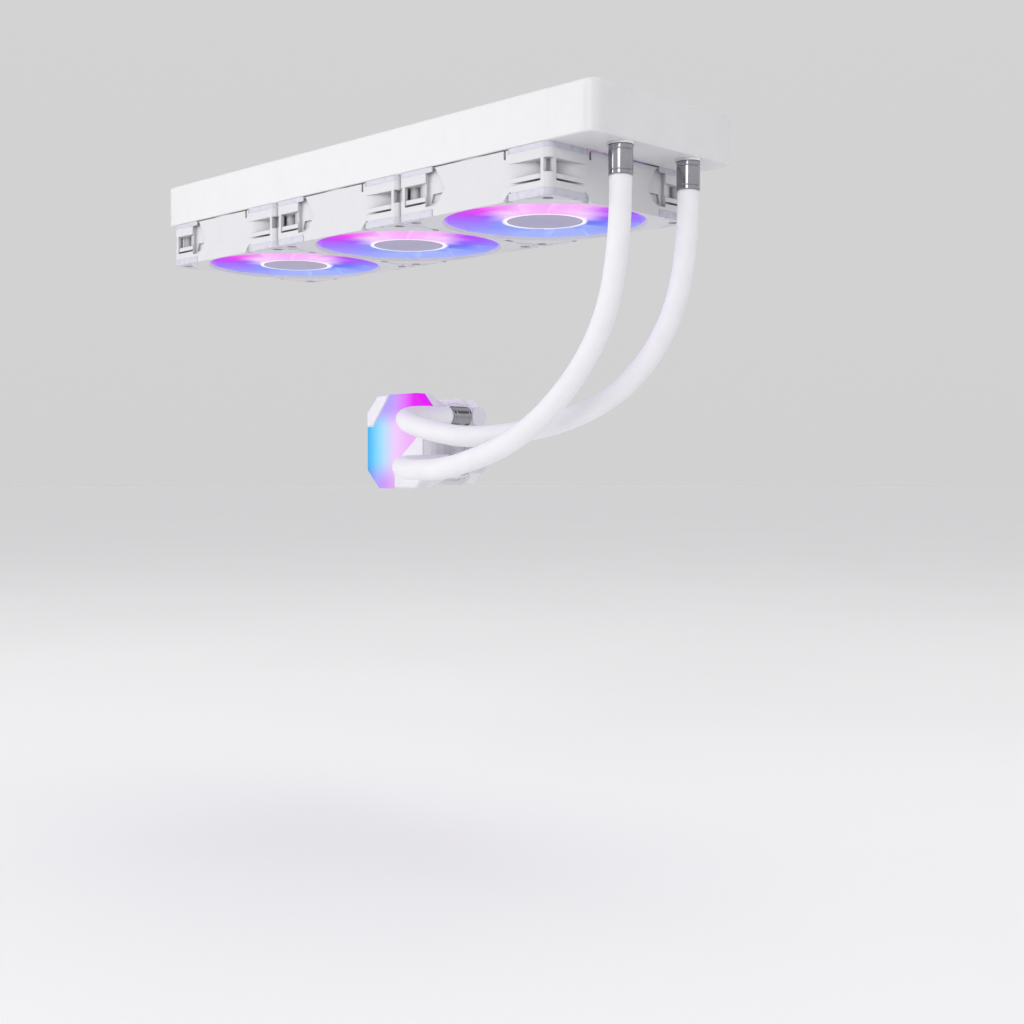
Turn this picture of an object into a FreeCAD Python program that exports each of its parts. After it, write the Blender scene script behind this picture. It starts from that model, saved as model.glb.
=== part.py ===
import FreeCAD, Part

import math
import os

# Closed-loop liquid cooler: a 360 mm radiator with three 120 mm fans under it, two hoses and a
# pump block. Millimetres. +Z is up, +X points to the end tank that carries the hoses and +Y to the
# circuit board that the pump block sits on. The origin is the centre of the middle fan's screw
# pattern on the radiator's top face.

V = FreeCAD.Vector
X_AXIS = V(1, 0, 0)
Y_AXIS = V(0, 1, 0)
Z_AXIS = V(0, 0, 1)

# ---------------------------------------------------------------- driving dimensions
FAN_SIZE = 120.0
FAN_HEIGHT = 28.0
HOLE_PITCH = 105.0
FAN_CENTRES = (120.0, 0.0, -120.0)

RAD_WIDTH = 120.0
RAD_HEIGHT = 27.0
SHEET = 1.0
FRONT_END = 210.5
REAR_END = -188.5
FRONT_HEADER = 178.0
REAR_HEADER = -178.0
HEADER_SHEET = 1.5
TUBE_COUNT = 12
TUBE_THICK = 2.0
CORE_HEIGHT = 19.0
CORE_HALF_WIDTH = 57.5
FIN_PITCH = 4.0
FIN_SHEET = 0.3
FIN_GAP = 3.0
TUBE_REACH = 2.5
TUBE_SIDE = 0.3
TUBE_EDGE = 0.8
TANK_WALL = 1.6
TANK_CORNER = 7.0
TANK_RIM = 1.2
TANK_INSIDE = 5.0
DIVIDER_HALF = 0.8
PORT_BOSS = 8.0
FILL_Y = 42.0
FILL_Z = -13.5
FILL_RADIUS = 4.0
FILL_HEAD = 6.2
FILL_SLOT = 0.6
RAIL_EDGE = 0.9
RAIL_FLANGE = 13.0
CASE_HOLE = 1.5
FAN_THREAD = 1.75

HOSE_RADIUS = 6.0
FERRULE_RADIUS = 6.55
FERRULE_BORE = 5.9
FERRULE_RIM = 2.4
FERRULE_LENGTH = 15.5
FERRULE_EDGE = 0.35
FERRULE_END = 1.2
GROOVE_WIRE = 0.55
GROOVE_LIFT = 0.3
BARB_RADIUS = 4.0
BARB_BORE = 2.8
BARB_COUNT = 3
BARB_STEP = 3.4
BARB_LENGTH = 2.6
BARB_RISE = 0.6
COLLAR_RADIUS = 7.4
COLLAR_LENGTH = 1.5
FIT = 0.02
PORT_X = 202.0
PORT_Y = 28.5

BLOCK_X = -26.6
BLOCK_Z = -178.0
BLOCK_FACE = 13.2
BLOCK_SIZE = 62.0
BLOCK_CHAMFER = 12.0
PLATE_FACE = 66.0
ELBOW_X = 19.0
ELBOW_Y = 38.2
ELBOW_RADIUS = 6.2
ELBOW_CAP = 6.9
PUMP_EXIT_Y = 16.2
UPPER_PORT_Z = -162.7
LOWER_PORT_Z = -193.4
BRACKET_PITCH = 94.0

# Hose routes: corner points of straight runs that tangent arcs join, from the pump to the radiator.
UPPER_ROUTE = [
    (19.0, 16.2, -162.7), (19.0, 4.0, -162.7), (23.0, -17.0, -163.5), (39.5, -39.0, -167.0),
    (70.0, -51.5, -173.5), (114.0, -48.0, -181.0), (167.0, -19.0, -170.0), (193.0, 8.0, -140.0),
    (202.0, 28.5, -90.0), (202.0, 28.5, -44.0),
]
LOWER_ROUTE = [
    (19.0, 16.2, -193.4), (19.0, 3.0, -193.4), (26.5, -23.0, -194.0), (43.5, -45.0, -195.6),
    (71.0, -59.0, -198.0), (113.0, -64.0, -196.5), (160.0, -54.0, -179.0), (192.0, -38.0, -137.0),
    (202.0, -28.5, -88.0), (202.0, -28.5, -44.0),
]

# Heights of the stack
RAD_BOTTOM = -RAD_HEIGHT
FAN_TOP = RAD_BOTTOM
FAN_BOTTOM = FAN_TOP - FAN_HEIGHT

os.makedirs("parts", exist_ok=True)


# ---------------------------------------------------------------- helpers
def save(name, *solids):
    """Write the solids as one named sub-part."""
    shape = solids[0] if len(solids) == 1 else Part.makeCompound(list(solids))
    for solid in shape.Solids:
        if not solid.isValid():
            print("not valid:", name)
    shape.exportStep("parts/" + name + ".step")
    box = shape.BoundBox
    print("%-24s %3d solids  x %7.1f %7.1f  y %6.1f %6.1f  z %7.1f %7.1f" % (
        name, len(shape.Solids), box.XMin, box.XMax, box.YMin, box.YMax, box.ZMin, box.ZMax))


def box(x0, x1, y0, y1, z0, z1):
    return Part.makeBox(x1 - x0, y1 - y0, z1 - z0, V(x0, y0, z0))


def rod(radius, length, base, direction=Z_AXIS):
    return Part.makeCylinder(radius, length, V(*base), direction)


def pipe(outer, inner, length, base, direction=Z_AXIS):
    start = V(*base) - direction * 1.0
    return rod(outer, length, base, direction).cut(
        Part.makeCylinder(inner, length + 2.0, start, direction))


def fuse(shapes):
    result = shapes[0].multiFuse(shapes[1:]) if len(shapes) > 1 else shapes[0]
    return result.removeSplitter()


def cut(shape, tools):
    return shape.cut(Part.makeCompound(tools))


def rounded_box(x0, x1, y0, y1, z0, z1, radius):
    """A box whose four upright corners are rounded."""
    solid = box(x0, x1, y0, y1, z0, z1)
    edges = [e for e in solid.Edges if abs(e.tangentAt(e.FirstParameter).z) > 0.99]
    return solid.makeFillet(radius, edges)


def corners(centre_x, centre_y, pitch_x, pitch_y):
    for sx in (-0.5, 0.5):
        for sy in (-0.5, 0.5):
            yield centre_x + sx * pitch_x, centre_y + sy * pitch_y


def polygon(points):
    """A flat face from a closed list of points."""
    vectors = [V(*p) for p in points]
    return Part.Face(Part.makePolygon(vectors + vectors[:1]))


def octagon(centre_x, centre_z, size, chamfer, y0, y1):
    """An eight-sided prism along Y: a square with four cut corners."""
    h = size / 2.0
    k = h - chamfer
    outline = [(-k, -h), (k, -h), (h, -k), (h, k), (k, h), (-k, h), (-h, k), (-h, -k)]
    face = polygon([(centre_x + a, y0, centre_z + b) for a, b in outline])
    return face.extrude(V(0, y1 - y0, 0))


def block_outline(size, chamfer, y):
    """The wire of the pump block's eight-sided section at a height y."""
    h = size / 2.0
    k = h - chamfer
    outline = [(-k, -h), (k, -h), (h, -k), (h, k), (k, h), (-k, h), (-h, k), (-h, -k)]
    points = [V(BLOCK_X + a, y, BLOCK_Z + b) for a, b in outline]
    return Part.makePolygon(points + points[:1])


# ---------------------------------------------------------------- radiator
def tube_pitch():
    return 2.0 * CORE_HALF_WIDTH / (TUBE_COUNT + 1)


def tube_places():
    return [-CORE_HALF_WIDTH + tube_pitch() * (i + 1) for i in range(TUBE_COUNT)]


CORE_LOW = RAD_BOTTOM + (RAD_HEIGHT - CORE_HEIGHT) / 2.0
CORE_HIGH = CORE_LOW + CORE_HEIGHT


def fin_strip(y0, y1):
    """One folded strip between two tubes."""
    start = REAR_HEADER + FIN_GAP
    folds = int((FRONT_HEADER - FIN_GAP - start) / (FIN_PITCH / 2.0))
    crest = y1 - FIN_SHEET
    lower = []
    upper = []
    for i in range(folds + 1):
        x = start + i * FIN_PITCH / 2.0
        y = y0 if i % 2 == 0 else crest
        lower.append((x, y, CORE_LOW))
        upper.append((x, y + FIN_SHEET, CORE_LOW))
    face = polygon(lower + upper[::-1])
    return face.extrude(V(0, 0, CORE_HEIGHT))


def make_fins():
    half = TUBE_THICK / 2.0
    walls = [-CORE_HALF_WIDTH - half] + tube_places() + [CORE_HALF_WIDTH + half]
    strips = []
    for a, b in zip(walls[:-1], walls[1:]):
        strips.append(fin_strip(a + half, b - half))
    save("radiator_fins", *strips)


def make_tubes():
    half = TUBE_THICK / 2.0
    x0 = REAR_HEADER - TUBE_REACH
    x1 = FRONT_HEADER + TUBE_REACH
    tubes = []
    for y in tube_places():
        outer = box(x0, x1, y - half, y + half, CORE_LOW, CORE_HIGH)
        inner = box(x0 - 1.0, x1 + 1.0, y - half + TUBE_SIDE, y + half - TUBE_SIDE,
                    CORE_LOW + TUBE_EDGE, CORE_HIGH - TUBE_EDGE)
        tubes.append(outer.cut(inner))
    save("radiator_tubes", *tubes)


def header_plate(x0):
    """A plate with one slot for each flat tube."""
    plate = box(x0, x0 + HEADER_SHEET, -RAD_WIDTH / 2.0 + SHEET, RAD_WIDTH / 2.0 - SHEET,
                RAD_BOTTOM + SHEET, -SHEET)
    slots = []
    for y in tube_places():
        slots.append(box(x0 - 1.0, x0 + HEADER_SHEET + 1.0, y - TUBE_THICK / 2.0,
                         y + TUBE_THICK / 2.0, CORE_LOW, CORE_HIGH))
    return cut(plate, slots)


def tank_shell(x0, x1, open_low):
    """A tank: a rounded box, hollow, and open on the side that meets its header plate."""
    half = RAD_WIDTH / 2.0
    wall = TANK_WALL
    solid = box(x0, x1, -half, half, RAD_BOTTOM, 0.0)
    outer_x = x1 if open_low else x0
    edges = []
    for edge in solid.Edges:
        centre = edge.CenterOfMass
        if abs(centre.x - outer_x) < 0.01 and abs(abs(centre.y) - half) < 0.01:
            edges.append(edge)
    solid = solid.makeFillet(TANK_CORNER, edges)
    rim = [e for e in solid.Edges
           if (abs(e.BoundBox.ZMin) < 0.01 or abs(e.BoundBox.ZMax - RAD_BOTTOM) < 0.01)
           and e.BoundBox.ZLength < 0.01
           and abs(e.CenterOfMass.x - (x0 if open_low else x1)) > 0.01]
    solid = solid.makeFillet(TANK_RIM, rim)
    if open_low:
        hollow = rounded_box(x0 - 10.0, x1 - wall, -half + wall, half - wall,
                             RAD_BOTTOM + wall, -wall, TANK_INSIDE)
    else:
        hollow = rounded_box(x0 + wall, x1 + 10.0, -half + wall, half - wall,
                             RAD_BOTTOM + wall, -wall, TANK_INSIDE)
    return solid.cut(hollow)


def make_front_tank():
    x0 = FRONT_HEADER + HEADER_SHEET
    shell = tank_shell(x0, FRONT_END, True)
    divider = box(x0 + SHEET, FRONT_END - SHEET, -DIVIDER_HALF, DIVIDER_HALF, RAD_BOTTOM + SHEET, -SHEET)
    shell = shell.fuse(divider)
    bosses = []
    holes = []
    for side in (-1, 1):
        bosses.append(rod(PORT_BOSS, 3.0, (PORT_X, side * PORT_Y, RAD_BOTTOM + SHEET)))
        holes.append(rod(BARB_RADIUS, 9.0, (PORT_X, side * PORT_Y, RAD_BOTTOM - 3.0)))
    shell = cut(fuse([shell] + bosses), holes)
    save("front_tank", shell)


def make_rear_tank():
    x1 = REAR_HEADER
    shell = tank_shell(REAR_END, x1, False)
    boss = rod(FILL_RADIUS + 2.0, 2.4, (REAR_END + 1.0, FILL_Y, FILL_Z), X_AXIS)
    hole = rod(FILL_RADIUS, 8.0, (REAR_END - 2.0, FILL_Y, FILL_Z), X_AXIS)
    save("rear_tank", fuse([shell, boss]).cut(hole))
    head = rod(FILL_HEAD, 1.2, (REAR_END - 1.2, FILL_Y, FILL_Z), X_AXIS)
    shank = rod(FILL_RADIUS, 5.0, (REAR_END - 0.2, FILL_Y, FILL_Z), X_AXIS)
    slot = box(REAR_END - 2.0, REAR_END - 0.5, FILL_Y - FILL_RADIUS, FILL_Y + FILL_RADIUS,
               FILL_Z - FILL_SLOT, FILL_Z + FILL_SLOT)
    save("fill_plug", fuse([head, shank]).cut(slot))


def make_rail(name, side):
    """A channel along one side: its two flanges carry the case screws and the fan screws."""
    x0 = REAR_HEADER
    x1 = FRONT_HEADER + HEADER_SHEET
    outer = side * RAD_WIDTH / 2.0
    web = outer - side * SHEET
    edge = outer - side * RAIL_FLANGE
    y_web = sorted((outer, web))
    y_flange = sorted((outer, edge))
    parts = [
        box(x0, x1, y_web[0], y_web[1], RAD_BOTTOM, 0.0),
        box(x0, x1, y_flange[0], y_flange[1], -SHEET, 0.0),
        box(x0, x1, y_flange[0], y_flange[1], RAD_BOTTOM, RAD_BOTTOM + SHEET),
    ]
    rail = fuse(parts)
    corner_edges = [e for e in rail.Edges
                    if abs(e.CenterOfMass.y - outer) < 0.01 and e.BoundBox.XLength > 50.0]
    rail = rail.makeFillet(RAIL_EDGE, corner_edges)
    holes = []
    for centre in FAN_CENTRES:
        for sx in (-0.5, 0.5):
            spot = (centre + sx * HOLE_PITCH, side * HOLE_PITCH / 2.0)
            holes.append(rod(CASE_HOLE, SHEET + 2.0, (spot[0], spot[1], -SHEET - 1.0)))
            holes.append(rod(FAN_THREAD, SHEET + 2.0, (spot[0], spot[1], RAD_BOTTOM - 1.0)))
    save(name, cut(rail, holes))


# ---------------------------------------------------------------- hose fittings
def barbed_tube(base, direction):
    """A spigot with three sawtooth rings, which the hose is pushed over inside its ferrule."""
    start = V(*base)
    solids = [Part.makeCylinder(BARB_RADIUS - FIT, FERRULE_LENGTH - 1.0, start, direction)]
    for i in range(BARB_COUNT):
        foot = start + direction * (BARB_STEP * (i + 1))
        solids.append(Part.makeCone(BARB_RADIUS + BARB_RISE, BARB_RADIUS - FIT, BARB_LENGTH, foot,
                                    direction))
    return fuse(solids)


def make_necks():
    """The barbed necks under the front tank, which reach into its ports."""
    down = V(0, 0, -1)
    necks = []
    for side in (-1, 1):
        foot = (PORT_X, side * PORT_Y, RAD_BOTTOM - COLLAR_LENGTH)
        collar = rod(COLLAR_RADIUS, COLLAR_LENGTH, foot)
        plug = rod(BARB_RADIUS - FIT / 2.0, 5.0, (PORT_X, side * PORT_Y, RAD_BOTTOM - 1.0))
        barb = barbed_tube(foot, down)
        bore = Part.makeCylinder(BARB_BORE, 30.0, V(PORT_X, side * PORT_Y, RAD_BOTTOM + 4.5), down)
        necks.append(fuse([collar, plug, barb]).cut(bore))
    save("radiator_necks", *necks)


def ferrule(base, direction):
    """A crimped sleeve: closed in round the neck, open to the hose, with two rolled grooves."""
    start = V(*base)
    body = Part.makeCylinder(FERRULE_RADIUS, FERRULE_LENGTH, start, direction)
    rims = [e for e in body.Edges if e.Length > 10.0 and e.BoundBox.DiagonalLength > 10.0
            and isinstance(e.Curve, Part.Circle)]
    body = body.makeFillet(FERRULE_EDGE, rims)
    hollow = Part.makeCylinder(FERRULE_BORE, FERRULE_LENGTH, start + direction * FERRULE_END, direction)
    neck_hole = Part.makeCylinder(BARB_RADIUS, 4.0, start - direction, direction)
    tools = [hollow, neck_hole]
    for place in (FERRULE_RIM, FERRULE_LENGTH - FERRULE_RIM):
        groove = Part.makeTorus(FERRULE_RADIUS + GROOVE_LIFT, GROOVE_WIRE, start + direction * place,
                                direction)
        tools.append(groove)
    return cut(body, tools)


def hose_tail(base, direction):
    """The stretch of hose inside the ferrule, round the barb."""
    start = V(*base) + direction * FERRULE_END
    length = FERRULE_LENGTH - FERRULE_END
    tail = Part.makeCylinder(FERRULE_BORE - 0.05, length, start, direction)
    return tail.cut(barbed_tube(base, direction))


def make_ferrules_and_tails():
    down = V(0, 0, -1)
    left = V(0, -1, 0)
    radiator_bases = [(PORT_X, side * PORT_Y, RAD_BOTTOM - COLLAR_LENGTH) for side in (-1, 1)]
    pump_y = PUMP_EXIT_Y + FERRULE_LENGTH
    pump_bases = [(ELBOW_X, pump_y, z) for z in (UPPER_PORT_Z, LOWER_PORT_Z)]
    sleeves = [ferrule(b, down) for b in radiator_bases]
    sleeves += [ferrule(b, left) for b in pump_bases]
    save("hose_ferrules", *sleeves)
    tails = [hose_tail(b, down) for b in radiator_bases]
    tails += [hose_tail(b, left) for b in pump_bases]
    save("hose_tails", *tails)


def route_wire(points):
    """Straight runs joined by tangent arcs, each as large as its two runs allow."""
    corners_ = [V(*p) for p in points]
    edges = []
    here = corners_[0]
    radii = []
    for before, corner, after in zip(corners_[:-2], corners_[1:-1], corners_[2:]):
        run_in = corner - before
        run_out = after - corner
        turn = run_in.getAngle(run_out)
        reach = 0.45 * min(run_in.Length, run_out.Length)
        radius = reach / math.tan(turn / 2.0)
        radii.append(round(radius, 1))
        direction_in = V(run_in).normalize()
        direction_out = V(run_out).normalize()
        start = corner - direction_in * reach
        end = corner + direction_out * reach
        inward = (direction_out - direction_in).normalize()
        middle = corner + inward * (radius / math.cos(turn / 2.0) - radius)
        edges.append(Part.LineSegment(here, start).toShape())
        edges.append(Part.Arc(start, middle, end).toShape())
        here = end
    edges.append(Part.LineSegment(here, corners_[-1]).toShape())
    return Part.Wire(edges), radii


def make_hose(name, points):
    path, radii = route_wire(points)
    first = V(*points[0])
    direction = V(*points[1]) - first
    section = Part.Wire(Part.makeCircle(HOSE_RADIUS, first, direction))
    hose = path.makePipeShell([section], True, False)
    ideal = math.pi * HOSE_RADIUS ** 2 * path.Length
    print("%s length %.1f mm, radii %s, volume ratio %.4f" % (
        name, path.Length, radii, hose.Volume / ideal))
    save(name, hose)


# ---------------------------------------------------------------- fans
FAN_HALF = FAN_SIZE / 2.0 - 0.1
FAN_BORE = 57.7
DUCT_WALL = 1.5
SHROUD_CORNER = 31.0
SHROUD_WALL = 4.6
TOP_GAP = 0.8
POCKET_FLOOR = 5.0
LIP_FLARE = 1.4
LIP_HEIGHT = 2.2
LOW_PAD = 4.2
HIGH_PAD = 3.0
LOW_FLANGE = 3.8
HIGH_FLANGE = 5.4
FLANGE_CORNER = 4.0
PAD_REACH = 30.0
RIB_INSET = 0.1
RIB_CORNER = 9.0
RIB_THICK = 2.6
RIB_LIFT = 9.2
POST_NEAR = 3.7
POST_FAR = 5.9
POST_DEPTH = 2.2
CORNER_BLOCK = 4.2
FAN_HOLE = 2.15
SCREW_TUBE = 3.3
HEAD_RECESS = 3.1
STRUT_COUNT = 4
STRUT_WIDTH = 2.8
STRUT_SWEEP = 24.0
MOTOR_PLATE_DROP = 2.6
MOTOR_PLATE = 2.0
MOTOR_RADIUS = 21.5
TOWER_RADIUS = 3.6
TOWER_BORE = 2.4
TOWER_DROP = 22.2
TOWER_LENGTH = 20.0

BLADE_TIP = 56.7
BLADE_COUNT = 13
BLADE_ZONE = 19.5
BLADE_STEPS = 3
BLADE_POINTS = 8
CAMBER = 0.07
ROOT_CHORD = 17.0
TIP_CHORD = 34.0
ROOT_PITCH = 40.0
TIP_PITCH = 23.0
ROOT_THICK = 2.0
TIP_THICK = 1.2
TIP_SWEEP = 11.0
HUB_RADIUS = 22.0
HUB_WALL = 1.4
HUB_OUTER = 24.0
HUB_GAP = 0.05
ROTOR_LOW = FAN_BOTTOM + 0.8
ROTOR_TOP = FAN_TOP - 5.4
SHAFT_RADIUS = 1.5
SHAFT_LENGTH = 20.0
CAP_THICK = 1.6
CAP_DEPTH = 15.0
CAP_BOSS_RADIUS = 4.2
CAP_BOSS = 3.6

# Outlines let into each side of the frame: distance along the side and height, with their depths.
SIDE_MIDDLE = (FAN_BOTTOM + FAN_TOP) / 2.0
HOOK_OUTLINE = [(-36.0, FAN_TOP - 1.0), (-28.0, FAN_TOP - 1.0), (-20.0, SIDE_MIDDLE),
                (-28.0, FAN_BOTTOM + 6.0), (-36.0, FAN_BOTTOM + 6.0)]
SLOT_OUTLINE = [(-32.5, SIDE_MIDDLE - 1.0), (-22.5, SIDE_MIDDLE - 1.0), (-25.0, SIDE_MIDDLE - 6.5),
                (-34.0, SIDE_MIDDLE - 6.0)]
SLIT_OUTLINE = [(26.8, FAN_TOP - 5.5), (28.4, FAN_TOP - 5.5), (28.4, FAN_TOP + 1.0),
                (26.8, FAN_TOP + 1.0)]
LOW_OUTLINE = [(25.0, FAN_BOTTOM - 1.0), (32.0, FAN_BOTTOM - 1.0), (32.0, FAN_BOTTOM + 5.0),
               (30.0, FAN_BOTTOM + 4.0)]
SIDE_CUTS = [(HOOK_OUTLINE, 2.6), (SLOT_OUTLINE, 3.8), (SLIT_OUTLINE, 2.0), (LOW_OUTLINE, 3.0)]


def side_outline(points, depth, angle, cx):
    """A prism cut inwards from one side plane, turned to the side at this angle. Every second side
    is a mirror image."""
    flip = -1.0 if angle in (90, 270) else 1.0
    face = polygon([(flip * x, -FAN_HALF - 0.5, z) for x, z in points])
    prism = face.extrude(V(0, depth + 0.5, 0))
    prism.rotate(V(0, 0, 0), Z_AXIS, angle)
    prism.translate(V(cx, 0, 0))
    return prism


def side_cuts(cx, angle):
    """What is let into one side: a stepped hook recess, its slot, a slit and a cut lower corner."""
    return [side_outline(outline, depth, angle, cx) for outline, depth in SIDE_CUTS]


def shroud_pockets(cx):
    """The moulded-out spaces between the round duct and the squarish shroud, open at the top."""
    inner = FAN_HALF - SHROUD_WALL
    space = rounded_box(cx - inner, cx + inner, -inner, inner, FAN_BOTTOM + POCKET_FLOOR,
                        FAN_TOP + 1.0, SHROUD_CORNER - SHROUD_WALL)
    return space.cut(rod(FAN_BORE + DUCT_WALL, FAN_HEIGHT + 4.0, (cx, 0, FAN_BOTTOM - 2.0)))


def square_plate(cx, z0, thick, corner, inset=0.0):
    half = FAN_HALF - inset
    return rounded_box(cx - half, cx + half, -half, half, z0, z0 + thick, corner)


def fan_frame(cx):
    """A squarish shroud round a duct, flanges at its corners, and a motor plate on four struts."""
    low_flange = FAN_BOTTOM + LOW_PAD
    high_flange = FAN_TOP - HIGH_PAD - HIGH_FLANGE
    tube_length = FAN_TOP - HIGH_PAD - low_flange
    solids = [
        square_plate(cx, FAN_BOTTOM, FAN_HEIGHT - TOP_GAP, SHROUD_CORNER),
        square_plate(cx, low_flange, LOW_FLANGE, FLANGE_CORNER),
        square_plate(cx, high_flange, HIGH_FLANGE, FLANGE_CORNER),
        square_plate(cx, FAN_BOTTOM + RIB_LIFT, RIB_THICK, RIB_CORNER, RIB_INSET),
    ]
    for x, y in corners(cx, 0.0, 2.0 * FAN_HALF, 2.0 * FAN_HALF):
        solids += corner_posts(cx, x, y, low_flange, FAN_TOP - HIGH_PAD)
        solids.append(corner_block(cx, x, y, low_flange))
    for x, y in corners(cx, 0.0, HOLE_PITCH, HOLE_PITCH):
        solids.append(rod(SCREW_TUBE, tube_length, (x, y, low_flange)))
    frame = fuse(solids)
    tools = [rod(FAN_BORE, FAN_HEIGHT + 4.0, (cx, 0, FAN_BOTTOM - 2.0)), shroud_pockets(cx)]
    for x, y in corners(cx, 0.0, HOLE_PITCH, HOLE_PITCH):
        tools.append(rod(FAN_HOLE, FAN_HEIGHT + 4.0, (x, y, FAN_BOTTOM - 2.0)))
        tools.append(rod(HEAD_RECESS, LOW_PAD + 2.0, (x, y, FAN_BOTTOM - 2.0)))
    for angle in (0, 90, 180, 270):
        tools += side_cuts(cx, angle)
    tools.append(Part.makeCone(FAN_BORE + LIP_FLARE, FAN_BORE, LIP_HEIGHT, V(cx, 0, FAN_BOTTOM)))
    for tool in tools:
        frame = frame.cut(tool)
    duct = pipe(FAN_BORE + DUCT_WALL, FAN_BORE, TOP_GAP + 1.0, (cx, 0, FAN_TOP - TOP_GAP - 1.0))
    plate = rod(MOTOR_RADIUS, MOTOR_PLATE, (cx, 0, FAN_TOP - MOTOR_PLATE_DROP))
    tower = pipe(TOWER_RADIUS, TOWER_BORE, TOWER_LENGTH, (cx, 0, FAN_TOP - TOWER_DROP))
    struts = [fan_strut(cx, 360.0 / STRUT_COUNT * i) for i in range(STRUT_COUNT)]
    return fuse([frame, duct, plate, tower] + struts)


def fan_strut(cx, turn):
    """One swept strut from the motor plate to the duct."""
    low = FAN_TOP - 4.4
    high = FAN_TOP - 0.6
    strut = box(MOTOR_RADIUS - 0.4, FAN_BORE + 9.0, -STRUT_WIDTH / 2.0, STRUT_WIDTH / 2.0, low, high)
    strut.rotate(V(0, 0, 0), Z_AXIS, STRUT_SWEEP)
    strut.translate(V(0, -8.0, 0))
    strut.rotate(V(0, 0, 0), Z_AXIS, turn)
    strut.translate(V(cx, 0, 0))
    strut = strut.cut(rod(MOTOR_RADIUS - 0.6, 3.0, (cx, 0, low - 1.2)))
    return strut.common(rod(FAN_BORE + DUCT_WALL - 0.3, 10.0, (cx, 0, low - 3.6)))


def corner_posts(cx, x, y, z0, z1):
    """The two thin uprights that tie the flanges together beside one corner."""
    sx = 1 if x > cx else -1
    sy = 1 if y > 0 else -1
    along_x = sorted((x - sx * POST_NEAR, x - sx * POST_FAR))
    deep_y = sorted((y, y - sy * POST_DEPTH))
    along_y = sorted((y - sy * POST_NEAR, y - sy * POST_FAR))
    deep_x = sorted((x, x - sx * POST_DEPTH))
    return [box(along_x[0], along_x[1], deep_y[0], deep_y[1], z0, z1),
            box(deep_x[0], deep_x[1], along_y[0], along_y[1], z0, z1)]


def corner_block(cx, x, y, z0):
    """The low block that stands on the lower flange between the two uprights."""
    x_range = sorted((x, x + math.copysign(POST_FAR, cx - x)))
    y_range = sorted((y, y - math.copysign(POST_FAR, y)))
    height = LOW_FLANGE + CORNER_BLOCK
    region = box(x_range[0], x_range[1], y_range[0], y_range[1], z0, z0 + height)
    return square_plate(cx, z0, height, FLANGE_CORNER).common(region)


def corner_pad(cx, sx, sy, z0, thick, hole):
    """A soft pad on one corner, cut back round the shroud and the screw."""
    x_range = sorted((cx + sx * PAD_REACH, cx + sx * FAN_HALF))
    y_range = sorted((sy * PAD_REACH, sy * FAN_HALF))
    region = box(x_range[0], x_range[1], y_range[0], y_range[1], z0, z0 + thick)
    pad = square_plate(cx, z0, thick, FLANGE_CORNER).common(region)
    pad = pad.cut(square_plate(cx, z0 - 1.0, thick + 2.0, SHROUD_CORNER))
    spot = (cx + sx * HOLE_PITCH / 2.0, sy * HOLE_PITCH / 2.0, z0 - 1.0)
    return pad.cut(rod(hole, thick + 2.0, spot))


def blade_section(radius, chord, pitch, thick, sweep):
    """A thin cambered section on the plane x = radius, with its lowest edge near the rotor's base."""
    mid_z = ROTOR_LOW + 0.5 + 0.5 * chord * math.sin(pitch)
    upper = []
    lower = []
    for i in range(BLADE_POINTS + 1):
        t = i / BLADE_POINTS
        along = (t - 0.5) * chord
        camber = CAMBER * chord * (1.0 - (2.0 * t - 1.0) ** 2)
        body = thick * 0.5 * (0.25 + 0.75 * math.sin(math.pi * (0.12 + 0.76 * t)))
        for side, row in ((1, upper), (-1, lower)):
            lift = camber + side * body
            y = along * math.cos(pitch) - lift * math.sin(pitch) + sweep
            z = along * math.sin(pitch) + lift * math.cos(pitch) + mid_z
            row.append(V(radius, y, z))
    over = Part.BSplineCurve()
    over.interpolate(upper)
    under = Part.BSplineCurve()
    under.interpolate(lower[::-1])
    return Part.Wire([over.toShape(), Part.LineSegment(upper[-1], lower[-1]).toShape(),
                      under.toShape(), Part.LineSegment(lower[0], upper[0]).toShape()])


def make_rotor_shape():
    """The blade wheel: a hollow hub wall with swept blades, open at the top."""
    root = HUB_RADIUS + 0.8
    wires = []
    for step in range(BLADE_STEPS + 1):
        t = step / BLADE_STEPS
        radius = root + t * (BLADE_TIP + 2.0 - root)
        chord = ROOT_CHORD + (TIP_CHORD - ROOT_CHORD) * t
        pitch = math.radians(ROOT_PITCH + (TIP_PITCH - ROOT_PITCH) * t)
        thick = ROOT_THICK + (TIP_THICK - ROOT_THICK) * t
        sweep = TIP_SWEEP * t * t
        wires.append(blade_section(radius, chord, pitch, thick, sweep))
    blade = Part.makeLoft(wires, True, False)
    blade = blade.common(pipe(BLADE_TIP, HUB_RADIUS + 1.2, BLADE_ZONE, (0, 0, ROTOR_LOW)))
    blades = []
    for i in range(BLADE_COUNT):
        copy = blade.copy()
        copy.rotate(V(0, 0, 0), Z_AXIS, 360.0 * i / BLADE_COUNT)
        blades.append(copy)
    wall = pipe(HUB_OUTER, HUB_RADIUS, ROTOR_TOP - ROTOR_LOW, (0, 0, ROTOR_LOW))
    return wall.multiFuse(blades).removeSplitter()


def hub_cap(cx):
    """The closed cup that shows in the middle of the fan and holds the magnet ring and the shaft."""
    outer = HUB_RADIUS - HUB_GAP
    cap = fuse([
        rod(outer, CAP_THICK, (cx, 0, ROTOR_LOW)),
        pipe(outer, outer - HUB_WALL, CAP_DEPTH, (cx, 0, ROTOR_LOW)),
        rod(CAP_BOSS_RADIUS, CAP_BOSS, (cx, 0, ROTOR_LOW)),
    ])
    return cap.cut(rod(SHAFT_RADIUS, CAP_DEPTH, (cx, 0, ROTOR_LOW + CAP_THICK / 2.0)))


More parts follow.
